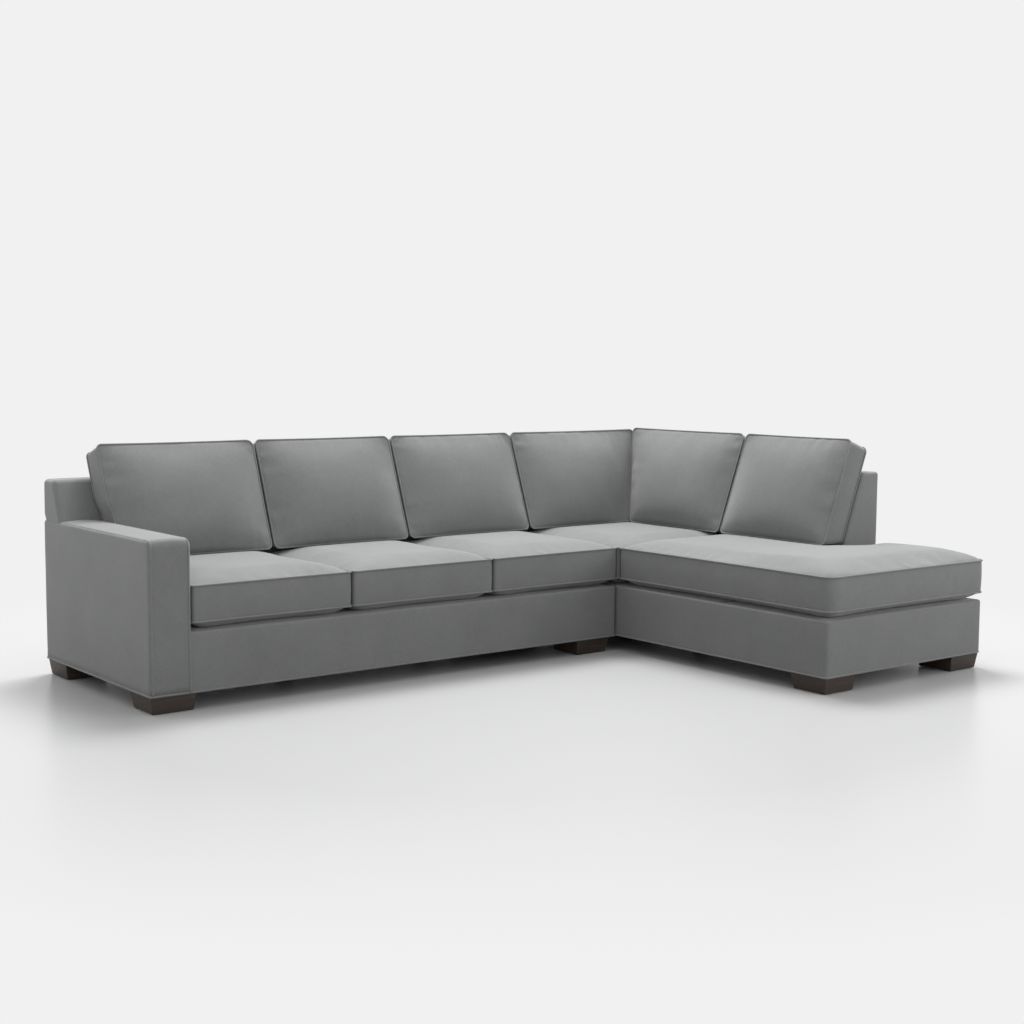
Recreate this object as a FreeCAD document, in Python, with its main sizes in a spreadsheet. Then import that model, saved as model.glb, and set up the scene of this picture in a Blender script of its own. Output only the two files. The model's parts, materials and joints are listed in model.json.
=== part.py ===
import FreeCAD, Part
import math
import os
import Sketcher

# Sectional sofa: a left-arm section with three seats, and a corner section whose seat runs forward as a
# bumper. X runs right along the long run, Y to the rear and Z up. The origin is on the floor under the
# middle of the plan.

SIZES = [
    ("arm_width", 165, "width of the left arm"),
    ("seat_width", 680, "width of one seat of the long run"),
    ("seat_count", 3, "seats beside the arm"),
    ("bumper_width", 965, "width of the corner section"),
    ("section_depth", 965, "depth of the long run, front plane to rear plane"),
    ("bumper_reach", 1190, "how far the bumper comes forward of the long run"),
    ("end_back_reach", 635, "how far the short back comes forward of the long run"),
    ("foot_height", 65, "floor to underside"),
    ("deck_height", 287, "floor to the deck under the seat cushions"),
    ("arm_height", 625, "floor to the top of the arm"),
    ("back_height", 787, "floor to the top of the back frame"),
    ("back_top_thickness", 108, "back frame thickness at its top"),
    ("back_seat_thickness", 217, "back frame thickness at seat level"),
    ("lean_share", 0.372, "run over rise of the leaning backs"),
    ("cover_thickness", 9, "fabric with its padding"),
    ("edge_round", 10, "rounding of the covers' edges"),
    ("arm_front_round", 24, "rounding where the arm's top turns down its front"),
    ("dust_cloth", 1.5, "thickness of the cloth under the frame"),
    ("deck_thickness", 12, "deck cloth with its pad"),
    ("deck_skirt", 8, "width of the deck's edge roll"),
    ("spring_room", 12, "height of the space for the springs under the deck"),
    ("board", 25, "thickness of the rails and posts"),
    ("panel", 5, "thickness of the arm's hardboard panels"),
    ("arm_post", 30, "thickness of the arm's posts"),
    ("arm_board", 20, "thickness of the arm's top board"),
    ("tenon_drop", 110, "how far a back post reaches down between its rails"),
    ("web_thickness", 2, "thickness of the back webbing"),
    ("web_width", 50, "width of a webbing strap"),
    ("web_pitch", 88, "spacing of the webbing straps"),
    ("web_count", 3, "webbing straps per back"),
    ("web_start", 16, "first strap above the foot of the slope"),
    ("wire", 4, "spring wire"),
    ("loop_width", 52, "width of a spring's loops"),
    ("loop_pitch", 32, "nearest pitch of a spring's loops"),
    ("loop_flat_share", 0.5, "flat end of a loop over the pitch"),
    ("springs_per_seat", 4, "springs under each seat of the long run"),
    ("front_bay_springs", 3, "springs under the front of the bumper"),
    ("end_bay_springs", 4, "springs beside the short back"),
    ("corner_bay_springs", 4, "springs under the corner seat"),
    ("spring_inset", 8, "spring end to the inner edge of its rail"),
    ("clip_metal", 1.2, "thickness of a spring clip"),
    ("clip_width", 25, "width of a spring clip"),
    ("clip_tail", 8.5, "nailed tail of a spring clip"),
    ("clip_lip", 4, "lip of a spring clip past the wire"),
    ("clip_clearance", 0.3, "clip to wire"),
    ("foot_width", 178, "width of a foot at its top"),
    ("foot_taper", 9, "how far each side of a foot draws in"),
    ("foot_inset", 6, "foot to the outside faces"),
    ("joint_foot_inset", 35, "foot to the end beside the corner section"),
    ("block_length", 150, "foot block along X"),
    ("block_width", 140, "foot block along Y"),
    ("block_height", 38, "height of the foot blocks and the arm's bottom board"),
    ("leg_width", 50, "width of a centre leg at its top"),
    ("leg_taper", 5, "how far each side of a centre leg draws in"),
    ("leg_place_share", 0.55, "centre leg along its rail"),
    ("bracket_metal", 3, "thickness of the section brackets"),
    ("bracket_width", 60, "width of a receiver bracket"),
    ("bracket_height", 70, "height of a receiver bracket"),
    ("bridge_height", 26, "height of the receiver's bridge"),
    ("bridge_inside", 5, "room behind the bridge"),
    ("tongue_width", 40, "width of the hook bracket"),
    ("tongue_length", 22, "length of the hook's tongue"),
    ("tongue_clearance", 1, "tongue to bridge"),
    ("bracket_low", 70, "underside to the receiver bracket"),
    ("bracket_from_front", 170, "front plane to the first bracket"),
    ("bracket_spacing", 420, "first bracket to second"),
    ("screw_radius", 2.5, "screw hole in a bracket"),
    ("screw_edge", 11, "screw hole to the bracket's edge"),
    ("seat_underfill", 33, "seat cushion below its lower welt"),
    ("seat_border", 132, "seat cushion between its welts"),
    ("seat_crown", 34, "seat cushion above its upper welt"),
    ("underfill_inset", 45, "draw-in below the lower welt"),
    ("crown_inset", 150, "seat's edge to the flat of its crown"),
    ("rear_crown_inset", 40, "the same at the seat's rear"),
    ("cushion_gap", 4, "gap between neighbouring cushions"),
    ("cushion_rest", 0.6, "clearance where a cushion rests"),
    ("cushion_back_gap", 2, "back cushion to back frame"),
    ("draw_share", 0.011, "draw-in of a cushion's side over its length"),
    ("side_steps", 6, "straight runs in a cushion's drawn-in side"),
    ("corner_steps", 3, "straight runs round a cushion's corner"),
    ("corner_round", 28, "rounding of a cushion's corners"),
    ("notch_round", 1.5, "rounding of the corner that a cushion has round the end of a back"),
    ("core_wrap", 26, "wrap around a foam core"),
    ("core_clearance", 1, "foam core to its wrap"),
    ("back_border", 106, "back cushion between its welts"),
    ("back_underfill", 10, "back cushion behind its rear welt"),
    ("back_crown", 38, "back cushion in front of its front welt"),
    ("back_length", 468, "front face of a back cushion along its lean"),
    ("back_side_inset", 130, "back cushion's side to the flat of its crown"),
    ("back_top_inset", 125, "back cushion's top to the flat of its crown"),
    ("back_foot_inset", 95, "back cushion's foot to the flat of its crown"),
    ("corner_cushion_flat", 155, "flat strip of the corner cushion behind its neighbour"),
    ("corner_cushion_slant", 44, "how much wider the corner cushion is at its top"),
    ("shoulder_rise_share", 0.64, "crown reached at the shoulder"),
    ("shoulder_inset_share", 0.3, "crown inset used up by the shoulder"),
    ("edge_match", 0.5, "how closely an edge is told from its neighbours"),
    ("flat_match", 0.00001, "how far off one plane four points of a face may be"),
    ("overrun", 20, "how far a cut runs past the material"),
]

doc = FreeCAD.newDocument("Sectional")
sheet = doc.addObject("Spreadsheet::Sheet", "Sizes")
for row, (alias, number, meaning) in enumerate(SIZES, start=1):
    sheet.set(f"A{row}", alias)
    sheet.set(f"B{row}", str(number))
    sheet.setAlias(f"B{row}", alias)
    sheet.set(f"C{row}", meaning)
doc.recompute()


class Size:
    """A number together with the sheet expression that gives it."""

    def __init__(self, value, text):
        self.value = value
        self.text = text

    def __add__(self, other):
        other = as_size(other)
        return Size(self.value + other.value, f"({self.text} + {other.text})")

    def __sub__(self, other):
        other = as_size(other)
        return Size(self.value - other.value, f"({self.text} - {other.text})")

    def __mul__(self, other):
        other = as_size(other)
        return Size(self.value * other.value, f"{self.text} * {other.text}")

    def __truediv__(self, other):
        other = as_size(other)
        return Size(self.value / other.value, f"({self.text}) / ({other.text})")

    def __neg__(self):
        return Size(-self.value, f"(0 - {self.text})")

    def __rmul__(self, other):
        return as_size(other) * self


def as_size(thing):
    """A plain count becomes a Size, and a Size stays as it is."""
    return thing if isinstance(thing, Size) else Size(float(thing), str(thing))


class Sheet:
    """Reads each alias of the sheet as a Size."""

    def __getattr__(self, alias):
        return Size(float(sheet.get(alias)), f"Sizes.{alias}")


s = Sheet()
parts = []

# Planes that the pieces share.
long_width = s.arm_width + s.seat_count * s.seat_width
left_x = -(long_width + s.bumper_width) / 2
right_x = -left_x
arm_inner_x = left_x + s.arm_width
bumper_x = left_x + long_width
joint_x = bumper_x - 2 * s.bracket_metal - s.bridge_inside - s.tongue_clearance
joint_rail_x = joint_x - s.cover_thickness
rear_y = (s.section_depth + s.bumper_reach) / 2
bumper_front_y = -rear_y
front_y = rear_y - s.section_depth
end_back_y = front_y - s.end_back_reach
back_face_y = rear_y - s.back_seat_thickness
end_face_x = right_x - s.back_seat_thickness
frame_z = s.foot_height + s.dust_cloth
rail_z = s.deck_height - s.deck_thickness - s.spring_room
block_z = frame_z + s.block_height
slope_z = s.back_height - (s.back_seat_thickness - s.back_top_thickness) / s.lean_share
top_rail_z = s.back_height - s.cover_thickness - s.board
seat_x = arm_inner_x - s.cover_thickness
seat_rail_y = back_face_y + s.cover_thickness
end_rail_x = end_face_x + s.cover_thickness
rear_rail_y = rear_y - s.cover_thickness - s.board
outer_rail_x = right_x - s.cover_thickness - s.board
inner_rail_x = bumper_x + s.cover_thickness
seat_top_z = s.deck_height + s.cushion_rest + s.seat_underfill + s.seat_border + s.seat_crown


def thickness_at(level):
    """Thickness of a back frame at a height on its slope."""
    return s.back_top_thickness + (s.back_height - level) * s.lean_share


def bind(item, **places):
    """Ties properties of an object to the sheet."""
    for name, size in places.items():
        item.setExpression(name, as_size(size).text)
    return item


def place(item, corner_x_, corner_y, corner_z):
    """Ties an object's place to the sheet."""
    item.setExpression("Placement.Base.x", as_size(corner_x_).text)
    item.setExpression("Placement.Base.y", as_size(corner_y).text)
    item.setExpression("Placement.Base.z", as_size(corner_z).text)
    return item


def slab(name, along_x, along_y, along_z):
    """A board between two planes in each direction."""
    item = doc.addObject("Part::Box", name)
    bind(item, Length=along_x[1] - along_x[0], Width=along_y[1] - along_y[0], Height=along_z[1] - along_z[0])
    return place(item, along_x[0], along_y[0], along_z[0])


def group(name, items):
    """Separate solids that share a node."""
    item = doc.addObject("Part::Compound", name)
    item.Links = items
    return item


def cut(name, base, tools):
    """A piece with its cut-outs."""
    item = doc.addObject("Part::Cut", name)
    item.Base = base
    item.Tool = tools[0] if len(tools) == 1 else fuse(name + "_tools", tools)
    return item


def fuse(name, items):
    """Several solids joined into one."""
    item = doc.addObject("Part::MultiFuse", name)
    item.Shapes = items
    return item


def part(label, item):
    """Marks an object as a sub-part under its own label."""
    item.Label = label
    parts.append(item)
    return item


PLANES = {"X": ("YZ_Plane", False), "Y": ("XZ_Plane", True), "Z": ("XY_Plane", False)}


def outline(sketch, corner, points):
    """A closed outline of straight lines, each corner held from the sketch's origin."""
    local = [(across - corner[0], up - corner[1]) for across, up in points]
    spots = [FreeCAD.Vector(across.value, up.value, 0) for across, up in local]
    for index, spot in enumerate(spots):
        sketch.addGeometry(Part.LineSegment(spot, spots[(index + 1) % len(spots)]), False)
    for index in range(len(spots)):
        sketch.addConstraint(Sketcher.Constraint("Coincident", index, 2, (index + 1) % len(spots), 1))
    for index, pair in enumerate(local):
        for kind, size in zip(("DistanceX", "DistanceY"), pair):
            hold_point(sketch, kind, index, size)


def hold_point(sketch, kind, index, size):
    """Holds the start of a line at a bound distance from the origin."""
    ends = (-1, 1, index, 1)
    if size.value < 0:
        ends = (index, 1, -1, 1)
        size = -size
    number = sketch.addConstraint(Sketcher.Constraint(kind, *ends, size.value))
    sketch.setExpression(f"Constraints[{number}]", size.text)


def pad_body(name, direction, corner, points, start, stop):
    """A body with one padded outline, between two planes along the direction."""
    role, backwards = PLANES[direction]
    body = doc.addObject("PartDesign::Body", name)
    plane = next(item for item in body.Origin.OriginFeatures if item.Role == role)
    sketch = body.newObject("Sketcher::SketchObject", name + "_outline")
    sketch.AttachmentSupport = [(plane, "")]
    sketch.MapMode = "FlatFace"
    outline(sketch, corner, points)
    pad = body.newObject("PartDesign::Pad", name + "_pad")
    pad.Profile = sketch
    pad.Reversed = backwards
    bind(pad, Length=stop - start)
    across, up = corner
    order = {"X": (start, across, up), "Y": (across, start, up), "Z": (across, up, start)}
    return place(body, *order[direction])


def round_edges(body, name, wanted, radius):
    """Rounds those edges of a body's pad that a test picks by their middle and direction."""
    doc.recompute()
    base = body.Tip
    names = []
    for number, edge in enumerate(base.Shape.Edges, start=1):
        middle = body.Placement.multVec(edge.CenterOfMass)
        run = edge.Vertexes[-1].Point - edge.Vertexes[0].Point
        if wanted(middle, run):
            names.append(f"Edge{number}")
    fillet = body.newObject("PartDesign::Fillet", name)
    fillet.Base = (base, names)
    bind(fillet, Radius=radius)
    return body


# The frame of the long run.


def sofa_base():
    """Rails, foot blocks and the cloth under the long run."""
    inside_y = front_y + s.cover_thickness
    rails_z = (frame_z, rail_z)
    whole_x = (left_x + s.cover_thickness, joint_rail_x)
    between_y = (inside_y + s.board, seat_rail_y)
    front_rail = slab("FrontRail", (seat_x, joint_rail_x), (inside_y, inside_y + s.board), rails_z)
    part("sofa_front_rail", front_rail)
    part("sofa_seat_rail", slab("SeatRail", whole_x, (seat_rail_y, seat_rail_y + s.board), rails_z))
    part("sofa_rear_rail", slab("RearRail", whole_x, (rear_rail_y, rear_rail_y + s.board), rails_z))
    sides = [
        slab("LeftSideRail", (seat_x, seat_x + s.board), between_y, rails_z),
        slab("RightSideRail", (joint_rail_x - s.board, joint_rail_x), between_y, rails_z),
    ]
    part("sofa_side_rails", group("SideRails", sides))
    cross = [
        slab(f"CrossRail{index}", (middle - s.board / 2, middle + s.board / 2), between_y, rails_z)
        for index, middle in enumerate(seat_lines()[1:-1])
    ]
    part("sofa_cross_rails", group("CrossRails", cross))


def seat_lines():
    """The lines between the seats of the long run, from the arm to the corner section."""
    return [arm_inner_x + index * s.seat_width for index in range(round(s.seat_count.value) + 1)]


def foot_spots():
    """The middle of each foot: of the long run, and of the corner section."""
    half = s.foot_width / 2
    left = left_x + s.foot_inset + half
    right = joint_x - s.joint_foot_inset - half
    front = front_y + s.foot_inset + half
    rear = rear_y - s.foot_inset - half
    inner = bumper_x + s.foot_inset + half
    outer = right_x - s.foot_inset - half
    bumper_front = bumper_front_y + s.foot_inset + half
    sofa = [(left, front), (right, front), (left, rear), (right, rear)]
    bumper = [(inner, bumper_front), (outer, bumper_front), (inner, rear), (outer, rear)]
    return sofa, bumper


def tapered_block(name, centre_x, centre_y, width, taper):
    """A square block that stands on the floor and widens up to the underside."""
    block = doc.addObject("Part::Wedge", name)
    bind(block, Xmin=taper, Xmax=width - taper, Zmin=taper, Zmax=width - taper, Ymin=0, Ymax=s.foot_height)
    bind(block, X2min=0, X2max=width, Z2min=0, Z2max=width)
    block.Placement.Rotation = FreeCAD.Rotation(FreeCAD.Vector(1, 0, 0), 90)
    return place(block, centre_x - width / 2, centre_y + width / 2, 0)


def standing(label, spots, width, taper):
    """A section's feet or centre legs."""
    blocks = [tapered_block(f"{label}{index}", *spot, width, taper) for index, spot in enumerate(spots)]
    part(label, group(label + "_all", blocks))


def foot_blocks(label, rows):
    """Blocks in the frame's corners over the feet; each row is a corner and the two ways into the frame."""
    blocks = []
    for index, (at_x, at_y, way_x, way_y) in enumerate(rows):
        far_x = at_x + way_x * s.block_length
        far_y = at_y + way_y * s.block_width
        along_x = (at_x, far_x) if way_x > 0 else (far_x, at_x)
        along_y = (at_y, far_y) if way_y > 0 else (far_y, at_y)
        blocks.append(slab(f"{label}{index}", along_x, along_y, (frame_z, block_z)))
    part(label, group(label + "_all", blocks))


# The leaning backs. A profile gives a point by its distance from the rear plane and its height.


def post_profile(across):
    """A back post: on both rear rails, with a tenon down between them."""
    web = s.cover_thickness + s.web_thickness
    rear = across(s.cover_thickness)
    rail_face = across(s.cover_thickness + s.board)
    seat_rail = across(s.back_seat_thickness - s.cover_thickness - s.board)
    foot = across(s.back_seat_thickness - web)
    tenon_z = rail_z - s.tenon_drop
    return [
        (foot, rail_z),
        (seat_rail, rail_z),
        (seat_rail, tenon_z),
        (rail_face, tenon_z),
        (rail_face, rail_z),
        (rear, rail_z),
        (rear, top_rail_z),
        (across(thickness_at(top_rail_z) - web), top_rail_z),
        (foot, slope_z),
    ]


def strap_profile(across, index):
    """A webbing strap on the slope of the posts."""
    low = slope_z + s.web_start + index * s.web_pitch
    high = low + s.web_width
    outside = s.cover_thickness
    inside = s.cover_thickness + s.web_thickness
    return [
        (across(thickness_at(low) - outside), low),
        (across(thickness_at(low) - inside), low),
        (across(thickness_at(high) - inside), high),
        (across(thickness_at(high) - outside), high),
    ]


def back_profile(across):
    """The outside of a back, from its rear plane to its slope."""
    return [
        (across(s.back_seat_thickness), s.foot_height),
        (across(0), s.foot_height),
        (across(0), s.back_height),
        (across(s.back_top_thickness), s.back_height),
        (across(s.back_seat_thickness), slope_z),
    ]


def hollow_profile(across):
    """The space inside a back: open below, and open to the seat under the deck."""
    cover = s.cover_thickness
    top = s.back_height - cover
    below = s.foot_height - s.overrun
    open_side = across(s.back_seat_thickness + s.overrun)
    return [
        (open_side, below),
        (across(cover), below),
        (across(cover), top),
        (across(thickness_at(top) - cover), top),
        (across(s.back_seat_thickness - cover), slope_z),
        (across(s.back_seat_thickness - cover), s.deck_height),
        (open_side, s.deck_height),
    ]


def from_rear(distance):
    """A plane that far in front of the rear plane."""
    return rear_y - distance


def from_right(distance):
    """A plane that far inside the right plane."""
    return right_x - distance


def posts(label, direction, across, starts):
    """Back posts, each a padded profile one board thick."""
    corner = (across(s.back_seat_thickness), s.foot_height)
    made = [
        pad_body(f"{label}{index}", direction, corner, post_profile(across), start, start + s.board)
        for index, start in enumerate(starts)
    ]
    return made


def straps(label, direction, across, start, stop):
    """The webbing of one back."""
    corner = (across(s.back_seat_thickness), s.foot_height)
    return [
        pad_body(f"{label}{index}", direction, corner, strap_profile(across, index), start, stop)
        for index in range(round(s.web_count.value))
    ]


def back_shell(name, direction, across, start, stop, hollow_start, hollow_stop, wanted):
    """A back's cover, rounded outside and hollow inside. Returns the cutter's body too."""
    corner = (across(s.back_seat_thickness), s.foot_height)
    outside = pad_body(name + "_outside", direction, corner, back_profile(across), start, stop)
    round_edges(outside, name + "_rounding", wanted, s.edge_round)
    inside = pad_body(name + "_inside", direction, corner, hollow_profile(across), hollow_start, hollow_stop)
    return outside, inside


def near(one, other):
    """Whether two coordinates of a built shape agree."""
    return abs(one - as_size(other).value) < s.edge_match.value


def sofa_back():
    """Posts, top rail, webbing and cover of the long run's back."""
    first = left_x + s.cover_thickness
    last = joint_rail_x
    starts = [first] + [line - s.board / 2 for line in seat_lines()[1:-1]] + [last - s.board]
    part("sofa_back_posts", group("SofaPosts", posts("SofaPost", "X", from_rear, starts)))
    top_thickness = thickness_at(s.back_height - s.cover_thickness)
    top_y = (rear_y - top_thickness + s.cover_thickness, rear_y - s.cover_thickness)
    part("sofa_top_rail", slab("SofaTopRail", (first, last), top_y, (top_rail_z, top_rail_z + s.board)))
    part("sofa_back_webbing", group("SofaWebbing", straps("SofaStrap", "X", from_rear, first, last)))

    def wanted(middle, run):
        top = near(middle.z, s.back_height)
        rear_corner = near(middle.x, left_x) and near(middle.y, rear_y)
        return (top and not near(middle.x, joint_x)) or rear_corner

    shell = back_shell("SofaBack", "X", from_rear, left_x, joint_x, first, last, wanted)
    over_arm = slab(
        "SofaBackOverArm",
        (left_x - s.overrun, first),
        (back_face_y - s.overrun, rear_y + s.overrun),
        (s.foot_height - s.overrun, s.arm_height),
    )
    part("sofa_back_cover", cut("SofaBackCover", shell[0], [shell[1], over_arm]))


# The left arm.


def arm():
    """The arm's frame, its panels and its cover."""
    cover = s.cover_thickness
    inside = (left_x + cover, arm_inner_x - cover)
    between_panels = (left_x + cover + s.panel, arm_inner_x - cover - s.panel)
    inside_y = (front_y + cover, back_face_y)
    top_z = s.arm_height - cover
    bottom_x = (between_panels[0], inside[1])
    top_y = (inside_y[0] + s.arm_front_round, inside_y[1])
    boards = [
        slab("ArmBottomBoard", bottom_x, (inside_y[0], seat_rail_y), (frame_z, block_z)),
        slab("ArmTopBoard", between_panels, top_y, (top_z - s.arm_board, top_z)),
    ]
    part("arm_boards", group("ArmBoards", boards))
    post_z = (block_z, top_z - s.arm_board)
    uprights = [
        slab("ArmFrontPost", between_panels, (inside_y[0], inside_y[0] + s.arm_post), post_z),
        slab("ArmRearPost", between_panels, (inside_y[1] - s.arm_post, inside_y[1]), post_z),
    ]
    part("arm_posts", group("ArmPosts", uprights))
    panels = [
        slab("ArmOuterPanel", (inside[0], between_panels[0]), inside_y, (frame_z, top_z)),
        slab("ArmInnerPanel", (between_panels[1], inside[1]), inside_y, (s.deck_height, top_z)),
    ]
    part("arm_panels", group("ArmPanels", panels))
    profile = [
        (front_y, s.foot_height),
        (rear_y, s.foot_height),
        (rear_y, s.arm_height),
        (front_y, s.arm_height),
    ]
    outside = pad_body("ArmOutside", "X", (front_y, s.foot_height), profile, left_x, arm_inner_x)

    def top_front(middle, run):
        return near(middle.z, s.arm_height) and near(middle.y, front_y)

    def sides(middle, run):
        left = near(middle.x, left_x)
        side = left or near(middle.x, arm_inner_x)
        rear = near(middle.y, rear_y) and not left
        return side and not rear and not near(middle.z, s.foot_height)

    round_edges(outside, "ArmFrontRounding", top_front, s.arm_front_round)
    round_edges(outside, "ArmSideRounding", sides, s.edge_round)
    below = s.foot_height - s.overrun
    past_rear = rear_y + s.overrun
    past_inner = arm_inner_x + s.overrun
    back_corner = (from_rear(s.back_seat_thickness), s.foot_height)
    tools = [
        slab("ArmHollow", inside, (inside_y[0], past_rear), (below, top_z)),
        slab("ArmOpening", (inside[0], past_inner), (inside_y[0], past_rear), (below, s.deck_height)),
        pad_body("ArmBackSpace", "X", back_corner, back_profile(from_rear), inside[0], past_inner),
    ]
    part("arm_cover", cut("ArmCover", outside, tools))


# Seat springs: each is one flat wire bent in loops, hooked in a clip on each rail.


def wire_outline(path, half):
    """The outline of a bent wire: its line moved to both sides, mitred at each bend."""
    sides = ([], [])
    for index, point in enumerate(path):
        before = (point - path[index - 1]).normalize() if index else None
        after = (path[index + 1] - point).normalize() if index + 1 < len(path) else None
        before = before or after
        after = after or before
        normal = FreeCAD.Vector(-before.y - after.y, before.x + after.x, 0).normalize()
        reach = half / (normal.x * -before.y + normal.y * before.x)
        sides[0].append(point + normal * reach)
        sides[1].append(point - normal * reach)
    return sides[0] + sides[1][::-1]


def zigzag(span):
    """One spring along Y, from the middle of its first end wire to the middle of its last."""
    half_width = s.loop_width.value / 2
    count = max(2, round(span / s.loop_pitch.value))
    pitch = span / count
    flat = pitch * s.loop_flat_share.value / 2
    path = [FreeCAD.Vector(-half_width, 0, 0)]
    for turn in range(count):
        side = half_width if turn % 2 == 0 else -half_width
        middle = (turn + 0.5) * pitch
        low = 0 if turn == 0 else middle - flat
        high = span if turn == count - 1 else middle + flat
        path.append(FreeCAD.Vector(side, low, 0))
        path.append(FreeCAD.Vector(side, high, 0))
    last_side = -path[-1].x
    path.append(FreeCAD.Vector(last_side, span, 0))
    points = wire_outline(path, s.wire.value / 2)
    face = Part.Face(Part.makePolygon(points + points[:1]))
    return face.extrude(FreeCAD.Vector(0, 0, s.wire.value))


def clip(way):
    """One clip, hooked over an end wire that runs along X; way is 1 or -1, towards the spring."""
    metal = s.clip_metal.value
    room = s.wire.value / 2 + s.clip_clearance.value
    top = s.wire.value + s.clip_clearance.value + 2 * metal
    lip = -room - s.clip_lip.value
    tail = -s.clip_tail.value
    profile = [
        (tail, 0),
        (room + metal, 0),
        (room + metal, top),
        (lip, top),
        (lip, top - metal),
        (room, top - metal),
        (room, metal),
        (tail, metal),
    ]
    half = s.clip_width.value / 2
    points = [FreeCAD.Vector(-half, way * across, up) for across, up in profile]
    face = Part.Face(Part.makePolygon(points + points[:1]))
    return face.extrude(FreeCAD.Vector(s.clip_width.value, 0, 0))


def spring_bay(start_x, width, start_y, span, count):
    """The springs of a bay and their clips, in the bay's own frame, running along Y."""
    springs = []
    clips = []
    low = s.clip_metal.value
    for index in range(count):
        middle = start_x + width * (index + 0.5) / count
        spring = zigzag(span)
        spring.translate(FreeCAD.Vector(middle, start_y, low))
        springs.append(spring)
        for way, place_y in ((1, start_y), (-1, start_y + span)):
            holder = clip(way)
            holder.translate(FreeCAD.Vector(middle, place_y, 0))
            clips.append(holder)
    return springs, clips


def own_shape(label, shape, base, rotation=None):
    """A sub-part whose shape is made here, with its place."""
    item = doc.addObject("Part::Feature", label + "_shape")
    item.Shape = shape
    item.Placement = FreeCAD.Placement(base, rotation or FreeCAD.Rotation())
    return part(label, item)


def suspension(label, bays, base, rotation=None):
    """Springs and clips of a section as two sub-parts."""
    springs = [spring for bay in bays for spring in bay[0]]
    clips = [holder for bay in bays for holder in bay[1]]
    own_shape(label + "_springs", Part.makeCompound(springs), base, rotation)
    own_shape(label + "_spring_clips", Part.makeCompound(clips), base, rotation)


def sofa_springs():
    """Springs of the long run, front to rear."""
    start = s.board.value - s.spring_inset.value
    inside_y = front_y + s.cover_thickness
    span = (seat_rail_y - inside_y).value - start + s.spring_inset.value
    lines = seat_lines()
    edges = [seat_x + s.board] + lines[1:-1] + [joint_rail_x - s.board]
    bays = []
    for low, high in zip(edges, edges[1:]):
        offset = (low - seat_x).value
        bays.append(spring_bay(offset, (high - low).value, start, span, round(s.springs_per_seat.value)))
    base = FreeCAD.Vector(seat_x.value, inside_y.value, rail_z.value)
    suspension("sofa", bays, base)


def tray(name, along_x, along_y, open_right, open_rear):
    """A deck: a padded sheet over the springs, with an edge roll down to the rails where no back stands."""
    top = slab(name + "_top", along_x, along_y, (rail_z, s.deck_height))
    right = along_x[1] + s.overrun if open_right else along_x[1] - s.deck_skirt
    rear = along_y[1] + s.overrun if open_rear else along_y[1] - s.deck_skirt
    inner_x = (along_x[0] + s.deck_skirt, right)
    inner_y = (along_y[0] + s.deck_skirt, rear)
    room = slab(name + "_room", inner_x, inner_y, (rail_z - s.overrun, s.deck_height - s.deck_thickness))
    return cut(name, top, [room])


def sofa_skins():
    """Deck, front border and dust cover of the long run."""
    inside_y = front_y + s.cover_thickness
    part("sofa_deck", tray("SofaDeck", (seat_x, joint_rail_x), (inside_y, seat_rail_y), False, True))
    heights = (s.foot_height, s.deck_height)
    borders = [
        slab("SofaFrontBorder", (arm_inner_x, joint_x), (front_y, inside_y), heights),
        slab("SofaEndBorder", (joint_rail_x, joint_x), (inside_y, back_face_y), heights),
    ]
    part("sofa_border", group("SofaBorders", borders))
    under_x = (left_x + s.cover_thickness, joint_rail_x)
    under_y = (inside_y, rear_y - s.cover_thickness)
    part("sofa_dust_cover", slab("SofaDustCover", under_x, under_y, (s.foot_height, frame_z)))


def sofa_section():
    """Everything fixed on the long run."""
    sofa_base()
    spots = foot_spots()[0]
    rear_edge = rear_rail_y
    right_edge = joint_rail_x - s.board
    front_edge = front_y + s.cover_thickness + s.board
    rows = [
        (right_edge, front_edge, -1, 1),
        (left_x + s.cover_thickness, rear_edge, 1, -1),
        (right_edge, rear_edge, -1, -1),
    ]
    foot_blocks("sofa_foot_blocks", rows)
    sofa_back()
    sofa_springs()
    sofa_skins()
    arm()
    standing("sofa_feet", spots, s.foot_width, s.foot_taper)
    leg_y = front_y + s.leg_place_share * s.section_depth
    standing("sofa_centre_legs", [(line, leg_y) for line in seat_lines()[1:-1]], s.leg_width, s.leg_taper)


# The corner section.


def bumper_base():
    """Rails of the corner section."""
    inside_y = bumper_front_y + s.cover_thickness
    rails_z = (frame_z, rail_z)
    whole_x = (inner_rail_x, right_x - s.cover_thickness)
    between_y = (inside_y + s.board, rear_rail_y)
    inner_face = inner_rail_x + s.board
    part("bumper_front_rail", slab("BumperFrontRail", whole_x, (inside_y, inside_y + s.board), rails_z))
    part("bumper_rear_rail", slab("BumperRearRail", whole_x, (rear_rail_y, rear_rail_y + s.board), rails_z))
    sides = [
        slab("BumperInnerRail", (inner_rail_x, inner_face), between_y, rails_z),
        slab("BumperOuterRail", (outer_rail_x, outer_rail_x + s.board), between_y, rails_z),
    ]
    part("bumper_long_rails", group("BumperLongRails", sides))
    end_start = end_back_y + s.board
    seat_rails = [
        slab("BumperSeatRail", (inner_face, outer_rail_x), (seat_rail_y, seat_rail_y + s.board), rails_z),
        slab("BumperEndRail", (end_rail_x, end_rail_x + s.board), (end_start, seat_rail_y), rails_z),
    ]
    part("bumper_seat_rails", group("BumperSeatRails", seat_rails))
    cross = [
        slab("BumperCrossRail0", (inner_face, outer_rail_x), (end_back_y, end_start), rails_z),
        slab("BumperCrossRail1", (inner_face, end_rail_x), (front_y, front_y + s.board), rails_z),
    ]
    part("bumper_cross_rails", group("BumperCrossRails", cross))


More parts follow.
